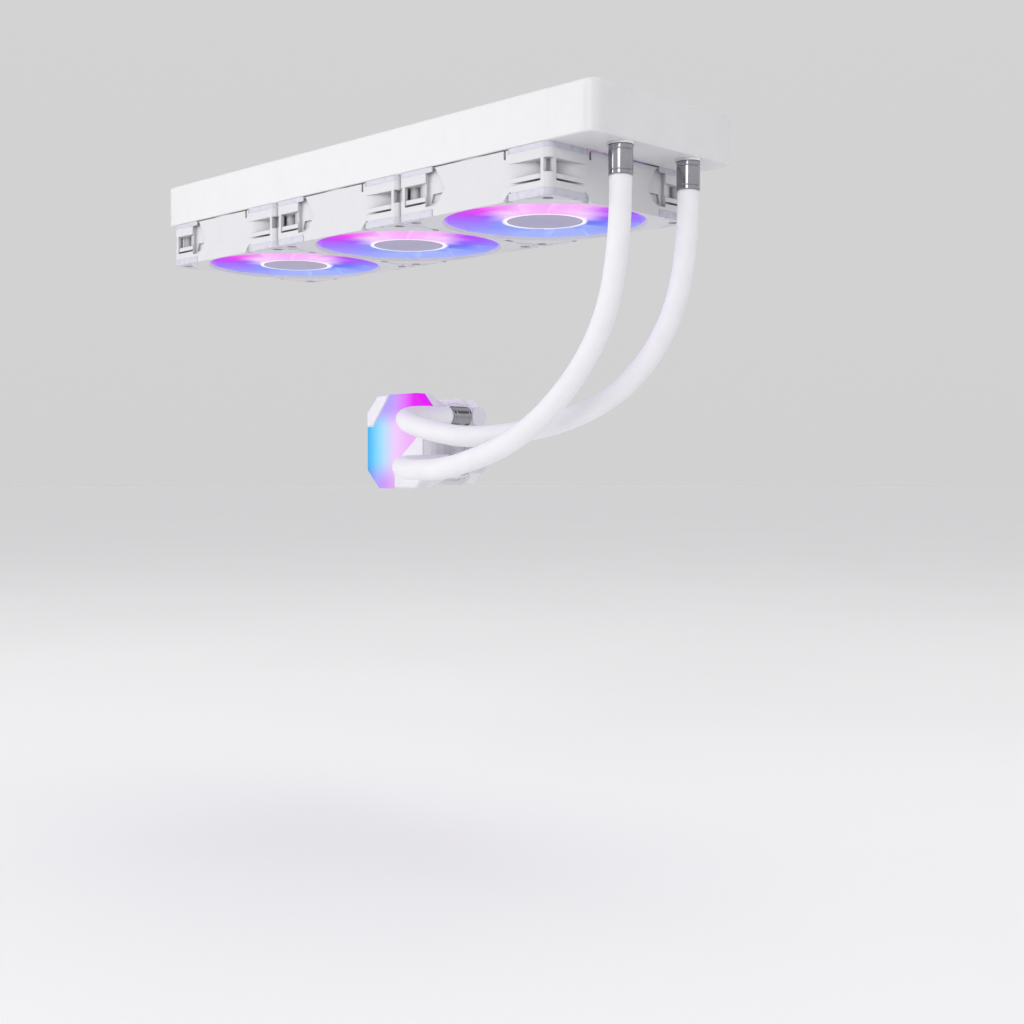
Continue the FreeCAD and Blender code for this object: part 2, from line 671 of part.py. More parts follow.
def make_fan(index, cx, rotor):
    name = "fan_%d_" % index
    save(name + "frame", fan_frame(cx))
    blades = rotor.copy()
    blades.translate(V(cx, 0, 0))
    save(name + "blades", blades)
    save(name + "hub_cap", hub_cap(cx))
    magnet = HUB_RADIUS - HUB_WALL - 2.0 * HUB_GAP
    save(name + "magnet_ring", pipe(magnet, magnet - 2.0, 11.0, (cx, 0, ROTOR_LOW + 3.6)))
    save(name + "shaft", rod(SHAFT_RADIUS, SHAFT_LENGTH, (cx, 0, ROTOR_LOW + CAP_THICK / 2.0)))
    save(name + "bearing", pipe(TOWER_BORE, SHAFT_RADIUS + 0.05, 18.0, (cx, 0, FAN_TOP - 21.8)))
    save(name + "stator", fan_stator(cx, FAN_TOP - 21.0))
    save(name + "light_board", light_board(cx, FAN_TOP - 4.0))
    pads = []
    for sx, sy in ((-1, -1), (-1, 1), (1, -1), (1, 1)):
        pads.append(corner_pad(cx, sx, sy, FAN_BOTTOM, LOW_PAD, HEAD_RECESS))
        pads.append(corner_pad(cx, sx, sy, FAN_TOP - HIGH_PAD, HIGH_PAD, FAN_HOLE))
    save(name + "corner_pads", *pads)


STATOR_HEIGHT = 7.0
STATOR_TEETH = 9
STATOR_RADIUS = 17.6
CORE_RADIUS = 8.0
COIL_LIFT = 0.9
BOARD_OUTER = 20.6
BOARD_INNER = 4.2
LIGHT_COUNT = 12


def fan_stator(cx, z0):
    """A nine-tooth iron core with its windings, round the bearing tower."""
    solids = [pipe(CORE_RADIUS, TOWER_RADIUS, STATOR_HEIGHT, (cx, 0, z0))]
    for i in range(STATOR_TEETH):
        tooth = box(7.0, 16.5, -1.0, 1.0, z0, z0 + STATOR_HEIGHT)
        shoe = box(15.3, 17.2, -4.2, 4.2, z0, z0 + STATOR_HEIGHT)
        coil = box(8.6, 14.6, -2.3, 2.3, z0 - COIL_LIFT, z0 + STATOR_HEIGHT + COIL_LIFT)
        for piece in (tooth, shoe, coil):
            piece.rotate(V(0, 0, 0), Z_AXIS, 360.0 / STATOR_TEETH * i)
            piece.translate(V(cx, 0, 0))
            solids.append(piece)
    return fuse(solids).common(rod(STATOR_RADIUS, STATOR_HEIGHT + 5.0, (cx, 0, z0 - 2.0)))


def light_board(cx, z0):
    """The ring-shaped circuit board under the motor plate, with a light every 30 degrees."""
    solids = [pipe(BOARD_OUTER, BOARD_INNER, 1.0, (cx, 0, z0 + 0.4))]
    for i in range(LIGHT_COUNT):
        light = box(18.2, 20.2, -1.2, 1.2, z0 - 0.2, z0 + 0.6)
        light.rotate(V(0, 0, 0), Z_AXIS, 360.0 / LIGHT_COUNT * i)
        light.translate(V(cx, 0, 0))
        solids.append(light)
    return fuse(solids)


SCREW_RADIUS = 1.73
SCREW_HEAD_RADIUS = 2.9
SCREW_HEAD = 2.2
SCREW_REACH = 2.0
CROSS_HALF = 1.7
CROSS_WIDTH = 0.35
CROSS_DEPTH = 1.1


def fan_screw(x, y):
    """One long cross-head screw, its head sunk into the lower pad."""
    seat = FAN_BOTTOM + LOW_PAD
    shank = rod(SCREW_RADIUS, RAD_BOTTOM + SCREW_REACH - seat, (x, y, seat))
    head = Part.makeCone(SCREW_HEAD_RADIUS - 0.7, SCREW_HEAD_RADIUS, SCREW_HEAD, V(x, y, seat - SCREW_HEAD))
    low = seat - SCREW_HEAD - 0.5
    top = low + 0.5 + CROSS_DEPTH
    cross = [box(x - CROSS_HALF, x + CROSS_HALF, y - CROSS_WIDTH, y + CROSS_WIDTH, low, top),
             box(x - CROSS_WIDTH, x + CROSS_WIDTH, y - CROSS_HALF, y + CROSS_HALF, low, top)]
    return cut(fuse([shank, head]), cross)


def make_fan_screws():
    """Long screws through each fan into the radiator's lower flanges."""
    screws = []
    for cx in FAN_CENTRES:
        screws += [fan_screw(x, y) for x, y in corners(cx, 0.0, HOLE_PITCH, HOLE_PITCH)]
    save("fan_screws", *screws)


# ---------------------------------------------------------------- pump block
DIFFUSER_DEPTH = 7.0
DIFFUSER_WALL = 3.0
COLLAR_DEPTH = 6.0
HOUSING_BACK = 60.5
LEG_START = BLOCK_X + 22.0
PORT_BOSS_RADIUS = 8.7
PORT_BOSS_END = 12.0
MOTOR_CHAMBER = 18.2
MOTOR_CHAMBER_Y = 24.0
MOTOR_CHAMBER_DEPTH = 24.0
WET_CHAMBER = 15.5
WET_CHAMBER_Y = 47.0
SPIGOT_RADIUS = 3.4
SPIGOT_LENGTH = 6.0
FOOT_SIZE = 56.0
FOOT_CHAMFER = 7.6
FOOT_SKIRT = 2.4
PLATE_SIZE = 53.0
PLATE_CHAMFER = 6.4
TAPER_WIDE = 58.0
TAPER_NARROW = 46.0
TAPER_END = 52.0
LID_SEAT = 52.0
LID_CHAMFER = 10.0
LID_DEPTH = 3.0
CHANNEL_HALF = 1.5
CHANNEL_DEPTH = 2.5
RISER_RADIUS = 2.2
RISER_X = BLOCK_X + 14.5
PLATE_SCREW_PITCH = 42.0

BRACKET_Y = 53.0
BRACKET_SHEET = 2.0
NECK_SIZE = 51.0
NECK_CHAMFER = 9.5
BRACKET_WIDTH = 58.0
BRACKET_CHAMFER = 10.0
EAR_START = 0.57
BRACKET_EAR = 6.0
SCREW_HEAD_Y = 44.0
CAPTIVE_HEAD_RADIUS = 4.0
CAPTIVE_HEAD = 4.0


def make_elbow(name, z):
    """A right-angle fitting: a leg into the block's side and a barbed leg towards -Y."""
    leg = rod(ELBOW_RADIUS, ELBOW_X - LEG_START, (LEG_START, ELBOW_Y, z), X_AXIS)
    cap = rod(ELBOW_RADIUS, ELBOW_CAP, (ELBOW_X, ELBOW_Y, z), X_AXIS)
    cap = cap.makeFillet(1.0, [e for e in cap.Edges if e.CenterOfMass.x > ELBOW_X + ELBOW_CAP - 0.1])
    neck_y = PUMP_EXIT_Y + FERRULE_LENGTH
    collar = rod(ELBOW_RADIUS - 0.3, ELBOW_Y - neck_y, (ELBOW_X, neck_y, z), Y_AXIS)
    spigot = rod(SPIGOT_RADIUS, SPIGOT_LENGTH, (LEG_START - SPIGOT_LENGTH, ELBOW_Y, z), X_AXIS)
    barb = barbed_tube((ELBOW_X, neck_y, z), V(0, -1, 0))
    outer = fuse([leg, cap, collar, spigot, barb])
    side_bore = rod(BARB_BORE - 0.4, ELBOW_X - LEG_START + SPIGOT_LENGTH + 2.0,
                    (LEG_START - SPIGOT_LENGTH - 2.0, ELBOW_Y, z), X_AXIS)
    hose_bore = rod(BARB_BORE, 40.0, (ELBOW_X, ELBOW_Y - 40.0, z), Y_AXIS)
    save(name, cut(outer, [side_bore, hose_bore]))


def port_tools(z):
    """The space that an elbow plugs into, and its passage to the cold plate."""
    return [
        rod(ELBOW_RADIUS + 0.05, 40.0, (LEG_START, ELBOW_Y, z), X_AXIS),
        rod(SPIGOT_RADIUS, LEG_START + 1.0 - RISER_X, (RISER_X, ELBOW_Y, z), X_AXIS),
        rod(RISER_RADIUS, HOUSING_BACK + 1.0 - ELBOW_Y, (RISER_X, ELBOW_Y, z), Y_AXIS),
    ]


def make_housing():
    """The tapered housing: a pump chamber from the back, port bores and a lid seat."""
    front = BLOCK_FACE + DIFFUSER_DEPTH
    collar_end = front + COLLAR_DEPTH
    foot_y = BRACKET_Y + BRACKET_SHEET
    solids = [
        octagon(BLOCK_X, BLOCK_Z, BLOCK_SIZE, BLOCK_CHAMFER, front, collar_end),
        Part.makeLoft([block_outline(TAPER_WIDE, BLOCK_CHAMFER, collar_end),
                       block_outline(TAPER_NARROW, BLOCK_CHAMFER - 3.0, TAPER_END)], True, True),
        octagon(BLOCK_X, BLOCK_Z, NECK_SIZE, NECK_CHAMFER, TAPER_END, foot_y),
        octagon(BLOCK_X, BLOCK_Z, FOOT_SIZE, FOOT_CHAMFER, foot_y, HOUSING_BACK + FOOT_SKIRT),
    ]
    for z in (UPPER_PORT_Z, LOWER_PORT_Z):
        solids.append(rod(PORT_BOSS_RADIUS, PORT_BOSS_END - BLOCK_X, (BLOCK_X, ELBOW_Y, z), X_AXIS))
    housing = fuse(solids)
    tools = [
        octagon(BLOCK_X, BLOCK_Z, LID_SEAT, LID_CHAMFER, front - 1.0, front + LID_DEPTH),
        rod(MOTOR_CHAMBER, MOTOR_CHAMBER_DEPTH, (BLOCK_X, MOTOR_CHAMBER_Y, BLOCK_Z), Y_AXIS),
        rod(WET_CHAMBER, 15.0, (BLOCK_X, WET_CHAMBER_Y, BLOCK_Z), Y_AXIS),
        octagon(BLOCK_X, BLOCK_Z, PLATE_SIZE + 0.2, PLATE_CHAMFER, HOUSING_BACK,
                HOUSING_BACK + FOOT_SKIRT + 1.0),
    ]
    for z in (UPPER_PORT_Z, LOWER_PORT_Z):
        tools += port_tools(z)
        tools.append(box(BLOCK_X + 6.0, RISER_X + CHANNEL_HALF, HOUSING_BACK - CHANNEL_DEPTH,
                         HOUSING_BACK + 1.0, min(z, BLOCK_Z) - CHANNEL_HALF,
                         max(z, BLOCK_Z) + CHANNEL_HALF))
    for x, z in plate_screw_spots():
        tools.append(rod(1.25, 8.0, (x, HOUSING_BACK - 4.5, z), Y_AXIS))
    for tool in tools:
        housing = housing.cut(tool)
    save("pump_housing", housing)


def face_prism(points, y0, y1):
    face = polygon([(BLOCK_X + a, y0, BLOCK_Z + b) for a, b in points])
    return face.extrude(V(0, y1 - y0, 0))


def face_outline(points, y):
    return Part.makePolygon([V(BLOCK_X + a, y, BLOCK_Z + b) for a, b in points + points[:1]])


def corner_cover(points, inset, hollow):
    """An opaque cover over one corner of the face and its side walls, with a bevelled front edge."""
    centre_a = sum(p[0] for p in points) / len(points)
    centre_b = sum(p[1] for p in points) / len(points)
    shrunk = [(centre_a + (a - centre_a) * inset, centre_b + (b - centre_b) * inset)
              for a, b in points]
    plate = face_prism(points, BLOCK_FACE, BLOCK_FACE + DIFFUSER_DEPTH)
    bevel = Part.makeLoft([face_outline(points, BLOCK_FACE), face_outline(shrunk, BLOCK_FACE - 1.0)],
                          True, True)
    return fuse([plate, bevel]).cut(hollow)


def cap_hollow(depth):
    """The space inside the cap, starting this deep behind its face."""
    return octagon(BLOCK_X, BLOCK_Z, BLOCK_SIZE - 2.0 * DIFFUSER_WALL, BLOCK_CHAMFER - 1.0,
                   BLOCK_FACE + depth, BLOCK_FACE + DIFFUSER_DEPTH + 1.0)


def side_facets():
    """What is cut from the lower cover's outer edge to leave two slanting facets."""
    half = BLOCK_SIZE / 2.0
    outline = [(26.0, -2.0), (26.0, 0.0), (29.4, 3.4), (half, 6.6), (half + 3.0, 6.6), (half + 3.0, -2.0)]
    low = BLOCK_Z - half - 1.0
    face = polygon([(BLOCK_X + a, BLOCK_FACE + b, low) for a, b in outline])
    return face.extrude(V(0, 0, BLOCK_SIZE))


def make_face():
    """The lit diffuser cap and the two white corner covers let into it."""
    half = BLOCK_SIZE / 2.0
    k = half - BLOCK_CHAMFER
    cap = octagon(BLOCK_X, BLOCK_Z, BLOCK_SIZE, BLOCK_CHAMFER, BLOCK_FACE, BLOCK_FACE + DIFFUSER_DEPTH)
    upper_left = [(-half, k), (-k, half), (-8.0, half), (-11.0, half - 4.6), (-25.0, 10.0),
                  (-half, 10.0)]
    lower_right = [(-3.0, -half), (k, -half), (half, -k), (half, 12.0), (17.5, 0.5), (6.0, -8.0),
                   (-3.0, -22.0)]
    upper = corner_cover(upper_left, 0.9, cap_hollow(DIFFUSER_WALL))
    lower = corner_cover(lower_right, 0.94, cap_hollow(2.0 * DIFFUSER_WALL))
    save("pump_diffuser", cut(cap.cut(cap_hollow(DIFFUSER_WALL)), [upper, lower]))
    save("pump_corner_covers", upper, lower.cut(side_facets()))


CIRCUIT_SIZE = 51.0
CIRCUIT_CHAMFER = 9.8
CIRCUIT_SHEET = 1.6
LAMP_COUNT = 8
LAMP_SIZE = 3.5
LAMP_RING = 20.0


def make_circuit_board():
    board_y = BLOCK_FACE + DIFFUSER_DEPTH + 1.0
    solids = [octagon(BLOCK_X, BLOCK_Z, CIRCUIT_SIZE, CIRCUIT_CHAMFER, board_y,
                      board_y + CIRCUIT_SHEET)]
    half = LAMP_SIZE / 2.0
    for i in range(LAMP_COUNT):
        angle = 2.0 * math.pi * (i + 0.5) / LAMP_COUNT
        x = BLOCK_X + LAMP_RING * math.cos(angle)
        z = BLOCK_Z + LAMP_RING * math.sin(angle)
        solids.append(box(x - half, x + half, board_y - 1.4, board_y + 0.4, z - half, z + half))
    save("pump_circuit_board", fuse(solids))


STATOR_Y = 25.0
CAN_RADIUS = 13.2
CAN_BORE = 12.6
CAN_FLANGE_Y = 42.4
AXLE_RADIUS = 1.2
DISC_RADIUS = 14.4
DISC_Y = 44.4
DISC_THICK = 1.4
VANE_COUNT = 7
VANE_ROOT = 3.4
VANE_LEAN = 28.0
MAGNET_Y = 27.4
MAGNET_LENGTH = 14.0
WINDING_COUNT = 6
WINDING_LENGTH = 16.0


def make_motor():
    stator = pipe(MOTOR_CHAMBER - 0.1, CAN_RADIUS + 0.4, WINDING_LENGTH, (BLOCK_X, STATOR_Y, BLOCK_Z), Y_AXIS)
    slots = []
    for i in range(WINDING_COUNT):
        slot = box(12.0, 17.0, -2.0, 2.0, -1.0, WINDING_LENGTH + 4.0)
        slot.rotate(V(0, 0, 0), Z_AXIS, 360.0 / WINDING_COUNT * i)
        slot.rotate(V(0, 0, 0), X_AXIS, -90.0)
        slot.translate(V(BLOCK_X, STATOR_Y, BLOCK_Z))
        slots.append(slot)
    save("pump_stator", cut(stator, slots))
    can = fuse([
        pipe(CAN_RADIUS, CAN_BORE, 19.0, (BLOCK_X, MOTOR_CHAMBER_Y + 0.5, BLOCK_Z), Y_AXIS),
        rod(CAN_RADIUS, 1.0, (BLOCK_X, MOTOR_CHAMBER_Y, BLOCK_Z), Y_AXIS),
        pipe(MOTOR_CHAMBER - 0.1, CAN_BORE, 1.4, (BLOCK_X, CAN_FLANGE_Y, BLOCK_Z), Y_AXIS),
    ])
    save("pump_rotor_can", can)
    axle = rod(AXLE_RADIUS, 23.6, (BLOCK_X, STATOR_Y, BLOCK_Z), Y_AXIS)
    save("pump_axle", axle.fuse(rod(3.0, 1.2, (BLOCK_X, STATOR_Y, BLOCK_Z), Y_AXIS)))


def make_impeller():
    """A magnet on the axle, a disc and its curved vanes, in one piece."""
    solids = [
        rod(CAN_BORE - 1.0, MAGNET_LENGTH, (BLOCK_X, MAGNET_Y, BLOCK_Z), Y_AXIS),
        rod(DISC_RADIUS, DISC_THICK, (BLOCK_X, DISC_Y, BLOCK_Z), Y_AXIS),
        rod(6.0, 4.0, (BLOCK_X, 41.0, BLOCK_Z), Y_AXIS),
    ]
    for i in range(VANE_COUNT):
        vane = box(VANE_ROOT, 14.0, -0.6, 0.6, -0.4, 3.0)
        vane.rotate(V(VANE_ROOT, 0, 0), Z_AXIS, VANE_LEAN)
        vane.rotate(V(0, 0, 0), Z_AXIS, 360.0 / VANE_COUNT * i)
        vane.rotate(V(0, 0, 0), X_AXIS, -90.0)
        vane.translate(V(BLOCK_X, DISC_Y + DISC_THICK, BLOCK_Z))
        solids.append(vane)
    impeller = fuse(solids).common(rod(DISC_RADIUS, 30.0, (BLOCK_X, 27.0, BLOCK_Z), Y_AXIS))
    save("pump_impeller", impeller.cut(rod(AXLE_RADIUS + 0.05, 40.0, (BLOCK_X, 20.0, BLOCK_Z), Y_AXIS)))


SEAL_RADIUS = 24.6
SEAL_WIRE = 0.69
GROOVE_HALF = 1.15
PLATE_THICK = 3.0
PAD_SIZE = 38.0
PAD_CHAMFER = 11.0
FIN_COUNT = 19
FIN_HALF = 0.25
FIN_LENGTH = 18.0
PLATE_HOLE = 1.4
PLATE_SINK = 2.5


def plate_screw_spots():
    return list(corners(BLOCK_X, BLOCK_Z, PLATE_SCREW_PITCH, PLATE_SCREW_PITCH))


def make_cold_plate():
    """A copper plate with a raised contact pad and micro-fins on its wet side, and its seal."""
    solids = [
        octagon(BLOCK_X, BLOCK_Z, PLATE_SIZE, PLATE_CHAMFER, HOUSING_BACK, HOUSING_BACK + PLATE_THICK),
        octagon(BLOCK_X, BLOCK_Z, PAD_SIZE, PAD_CHAMFER, HOUSING_BACK + 2.0, PLATE_FACE),
    ]
    for i in range(FIN_COUNT):
        x = BLOCK_X - (FIN_COUNT - 1) / 2.0 + i
        solids.append(box(x - FIN_HALF, x + FIN_HALF, HOUSING_BACK - 4.0, HOUSING_BACK + 0.5,
                          BLOCK_Z - FIN_LENGTH / 2.0, BLOCK_Z + FIN_LENGTH / 2.0))
    tools = [pipe(SEAL_RADIUS + GROOVE_HALF, SEAL_RADIUS - GROOVE_HALF, 1.4,
                  (BLOCK_X, HOUSING_BACK, BLOCK_Z), Y_AXIS)]
    for x, z in plate_screw_spots():
        tools.append(rod(PLATE_HOLE, 6.0, (x, HOUSING_BACK - 1.0, z), Y_AXIS))
        tools.append(rod(PLATE_SINK, 3.0, (x, HOUSING_BACK + PLATE_THICK / 2.0, z), Y_AXIS))
    plate = fuse(solids)
    for tool in tools:
        plate = plate.cut(tool)
    save("cold_plate", plate)
    seal = Part.makeTorus(SEAL_RADIUS, SEAL_WIRE, V(BLOCK_X, HOUSING_BACK + 0.7, BLOCK_Z), Y_AXIS)
    save("seal_ring", seal)


def make_plate_screws():
    screws = []
    for x, z in plate_screw_spots():
        head = rod(PLATE_SINK - 0.1, PLATE_THICK / 2.0, (x, HOUSING_BACK + PLATE_THICK / 2.0, z), Y_AXIS)
        shank = rod(1.2, 5.5, (x, HOUSING_BACK - 4.0, z), Y_AXIS)
        socket = rod(1.1, 2.0, (x, HOUSING_BACK + 2.2, z), Y_AXIS)
        screws.append(fuse([head, shank]).cut(socket))
    save("cold_plate_screws", *screws)


def bracket_spots():
    return [(BLOCK_X + side * BRACKET_PITCH / 2.0, BLOCK_Z) for side in (-1, 1)]


def make_bracket():
    """A steel plate round the housing with an ear at each side for a captive screw."""
    plate_top = BRACKET_Y + BRACKET_SHEET
    solids = [octagon(BLOCK_X, BLOCK_Z, BRACKET_WIDTH, BRACKET_CHAMFER, BRACKET_Y, plate_top)]
    for x, z in bracket_spots():
        span = sorted((x, BLOCK_X + (x - BLOCK_X) * EAR_START))
        solids.append(box(span[0], span[1], BRACKET_Y, plate_top, z - BRACKET_EAR, z + BRACKET_EAR))
        solids.append(rod(BRACKET_EAR, BRACKET_SHEET, (x, BRACKET_Y, z), Y_AXIS))
    plate = fuse(solids)
    tools = [octagon(BLOCK_X, BLOCK_Z, NECK_SIZE + 0.4, NECK_CHAMFER + 0.1, BRACKET_Y - 1.0, plate_top + 2.0)]
    for x, z in bracket_spots():
        tools.append(rod(2.1, 6.0, (x, BRACKET_Y - 2.0, z), Y_AXIS))
    save("pump_bracket", cut(plate, tools))


def captive_screw(x, z):
    """A slotted spring screw held in the bracket by a clip, with a threaded tip."""
    shank_end = BRACKET_Y + 6.0
    head = rod(CAPTIVE_HEAD_RADIUS, CAPTIVE_HEAD, (x, SCREW_HEAD_Y - CAPTIVE_HEAD, z), Y_AXIS)
    head = head.makeFillet(0.5, [e for e in head.Edges
                                 if abs(e.CenterOfMass.y - SCREW_HEAD_Y + CAPTIVE_HEAD) < 0.01])
    slot = box(x - 0.5, x + 0.5, SCREW_HEAD_Y - CAPTIVE_HEAD - 1.0, SCREW_HEAD_Y - 2.4, z - 6.0, z + 6.0)
    shank = rod(2.0, shank_end - SCREW_HEAD_Y + 0.5, (x, SCREW_HEAD_Y - 0.5, z), Y_AXIS)
    clip = pipe(3.4, 2.0, 0.8, (x, BRACKET_Y + BRACKET_SHEET + 0.05, z), Y_AXIS)
    tip = rod(1.5, 5.1, (x, shank_end - 0.1, z), Y_AXIS)
    return fuse([head, shank, clip, tip]).cut(slot)


SPRING_WIRE = 0.42
SPRING_RADIUS = 3.1
SPRING_TURNS = 4.0


def spring(x, z, y0, height):
    """A wire coil round the screw."""
    rise = height - 2.0 * SPRING_WIRE
    helix = Part.makeHelix(rise / SPRING_TURNS, rise, SPRING_RADIUS)
    profile = Part.Wire(Part.makeCircle(SPRING_WIRE, V(SPRING_RADIUS, 0, 0), V(0, 1, 0)))
    coil = Part.Wire(helix.Edges).makePipeShell([profile], True, True)
    coil.rotate(V(0, 0, 0), X_AXIS, -90.0)
    coil.translate(V(x, y0 + SPRING_WIRE, z))
    return coil


def make_bracket_screws():
    """Two captive screws, each pushed up off the board by its spring."""
    springs = []
    for index, (x, z) in enumerate(bracket_spots(), start=1):
        save("bracket_screw_%d" % index, captive_screw(x, z))
        springs.append(spring(x, z, SCREW_HEAD_Y + 0.3, BRACKET_Y - SCREW_HEAD_Y - 0.6))
    save("bracket_springs", *springs)


# ---------------------------------------------------------------- build
make_fins()
make_tubes()
save("header_plates", header_plate(FRONT_HEADER), header_plate(REAR_HEADER))
make_front_tank()
make_rear_tank()
make_rail("near_side_rail", -1)
make_rail("far_side_rail", 1)
make_necks()
make_ferrules_and_tails()
make_hose("upper_hose", UPPER_ROUTE)
make_hose("lower_hose", LOWER_ROUTE)

rotor_shape = make_rotor_shape()
for number, centre in enumerate(FAN_CENTRES, start=1):
    make_fan(number, centre, rotor_shape)
make_fan_screws()

make_elbow("upper_elbow", UPPER_PORT_Z)
make_elbow("lower_elbow", LOWER_PORT_Z)
make_housing()
make_face()
make_circuit_board()
make_motor()
make_impeller()
make_cold_plate()
make_plate_screws()
make_bracket()
make_bracket_screws()
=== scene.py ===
import math

import bpy
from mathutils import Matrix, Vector


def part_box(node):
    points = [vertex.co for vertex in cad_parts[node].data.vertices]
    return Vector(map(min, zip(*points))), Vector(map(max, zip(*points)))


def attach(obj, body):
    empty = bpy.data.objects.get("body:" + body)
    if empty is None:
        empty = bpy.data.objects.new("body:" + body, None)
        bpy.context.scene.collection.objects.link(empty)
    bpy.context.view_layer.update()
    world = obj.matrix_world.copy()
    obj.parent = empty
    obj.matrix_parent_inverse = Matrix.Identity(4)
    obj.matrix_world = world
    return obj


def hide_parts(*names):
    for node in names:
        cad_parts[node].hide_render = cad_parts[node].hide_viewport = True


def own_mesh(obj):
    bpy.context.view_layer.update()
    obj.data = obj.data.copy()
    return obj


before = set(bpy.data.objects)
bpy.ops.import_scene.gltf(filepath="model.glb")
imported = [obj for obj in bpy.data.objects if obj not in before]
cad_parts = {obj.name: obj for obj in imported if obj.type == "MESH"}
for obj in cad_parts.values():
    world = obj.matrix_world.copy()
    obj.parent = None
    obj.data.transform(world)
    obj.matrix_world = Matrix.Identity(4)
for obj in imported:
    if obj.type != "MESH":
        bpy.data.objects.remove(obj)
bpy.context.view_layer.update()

# Looks for a closed-loop liquid cooler: a radiator with three lit fans under it, two sleeved hoses
# and a lit pump block. Metres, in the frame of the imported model.

MM = 0.001
SQRT_HALF = math.sqrt(0.5)
BLACK = (0.0, 0.0, 0.0)
WHITE = (1.0, 1.0, 1.0)

# ---------------------------------------------------------------- places read from the frame
FAN_NAMES = ("fan_1", "fan_2", "fan_3")


def centre_of(node):
    low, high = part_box(node)
    return (low + high) / 2.0


FAN_CENTRES = {name: centre_of(name + "_hub_cap") for name in FAN_NAMES}
FAN_SPACING = FAN_CENTRES["fan_1"].x - FAN_CENTRES["fan_2"].x
BLADE_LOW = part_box("fan_1_blades")[0].z
FACE_CENTRE = centre_of("pump_diffuser")
FACE_HALF = (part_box("pump_diffuser")[1].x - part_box("pump_diffuser")[0].x) / 2.0

# ---------------------------------------------------------------- camera and stage
CAMERA_PLACE = Vector((0.690, -0.5968, -0.2014))
CAMERA_HEADING = math.radians(45.0)
CAMERA_DROP = math.radians(1.42)
CAMERA_LENS = 50.0              # millimetres, and so is the sensor's width
CAMERA_SENSOR = 36.0
CAMERA_NEAR = 0.01
CAMERA_FAR = 100.0

LIGHT_TARGET = (0.0, 0.0, -0.1)
LIGHTS = [                      # name, place, size, watts
    ("key_light", (1.1, -2.1, 0.9), 1.2, 14.0),
    ("left_light", (-1.6, -1.7, 0.3), 1.2, 10.0),
    ("top_light", (0.2, 0.4, 1.8), 1.8, 8.0),
]

# The studio's brightness from straight down (0) to straight up (1). The dark band above the
# horizon gives the chrome something to reflect.
WORLD_STOPS = [(0.0, 0.80), (0.66, 0.86), (0.72, 0.22), (0.80, 0.22), (0.86, 0.75), (1.0, 0.85)]
WORLD_BLUE = 1.01
WORLD_LIGHT = 1.05              # strength as light on the pieces
WORLD_SEEN = 0.755              # strength as the backdrop

FLOOR_Z = -0.43
FLOOR_HALF = 30.0


def link(thing):
    bpy.context.scene.collection.objects.link(thing)
    return thing


def aim(thing, direction):
    """Turns a camera or a lamp, which looks along its own -Z, to the direction."""
    thing.rotation_mode = "QUATERNION"
    thing.rotation_quaternion = direction.to_track_quat("-Z", "Y")


def make_camera():
    data = bpy.data.cameras.new("camera")
    data.lens = CAMERA_LENS
    data.sensor_width = CAMERA_SENSOR
    data.clip_start = CAMERA_NEAR
    data.clip_end = CAMERA_FAR
    camera = link(bpy.data.objects.new("camera", data))
    camera.location = CAMERA_PLACE
    level = math.cos(CAMERA_DROP)
    aim(camera, Vector((-math.sin(CAMERA_HEADING) * level, math.cos(CAMERA_HEADING) * level,
                        -math.sin(CAMERA_DROP))))
    bpy.context.scene.camera = camera


def make_lights():
    for name, place, size, watts in LIGHTS:
        data = bpy.data.lights.new(name, "AREA")
        data.shape = "DISK"
        data.size = size
        data.energy = watts
        lamp = link(bpy.data.objects.new(name, data))
        lamp.location = place
        aim(lamp, Vector(LIGHT_TARGET) - Vector(place))


def make_world():
    """A white studio, whose light is stronger than the backdrop that the camera sees."""
    world = bpy.data.worlds.new("studio")
    world.use_nodes = True
    bpy.context.scene.world = world
    tree = world.node_tree
    background = tree.nodes["Background"]
    place = tree.nodes.new("ShaderNodeTexCoord")
    split = tree.nodes.new("ShaderNodeSeparateXYZ")
    tree.links.new(place.outputs["Generated"], split.inputs[0])
    # The direction's height, -1 to 1, as 0 to 1.
    height = tree.nodes.new("ShaderNodeMath")
    height.operation = "MULTIPLY_ADD"
    height.inputs[1].default_value = 0.5
    height.inputs[2].default_value = 0.5
    tree.links.new(split.outputs["Z"], height.inputs[0])
    ramp = tree.nodes.new("ShaderNodeValToRGB")
    set_ramp(ramp, [(share, (value, value, value * WORLD_BLUE)) for share, value in WORLD_STOPS])
    tree.links.new(height.outputs[0], ramp.inputs[0])
    tree.links.new(ramp.outputs[0], background.inputs["Color"])
    seen = tree.nodes.new("ShaderNodeLightPath")
    strength = tree.nodes.new("ShaderNodeMapRange")
    strength.inputs["To Min"].default_value = WORLD_LIGHT
    strength.inputs["To Max"].default_value = WORLD_SEEN
    tree.links.new(seen.outputs["Is Camera Ray"], strength.inputs["Value"])
    tree.links.new(strength.outputs[0], background.inputs["Strength"])


def make_floor():
    finish = Finish("floor_pale")
    finish.vary(amount=0.01, size=0.4)
    corners = [(-FLOOR_HALF, -FLOOR_HALF, FLOOR_Z), (FLOOR_HALF, -FLOOR_HALF, FLOOR_Z),
               (FLOOR_HALF, FLOOR_HALF, FLOOR_Z), (-FLOOR_HALF, FLOOR_HALF, FLOOR_Z)]
    mesh = bpy.data.meshes.new("floor")
    mesh.from_pydata(corners, [], [(0, 1, 2, 3)])
    mesh.materials.append(finish.material)
    floor = link(bpy.data.objects.new("floor", mesh))


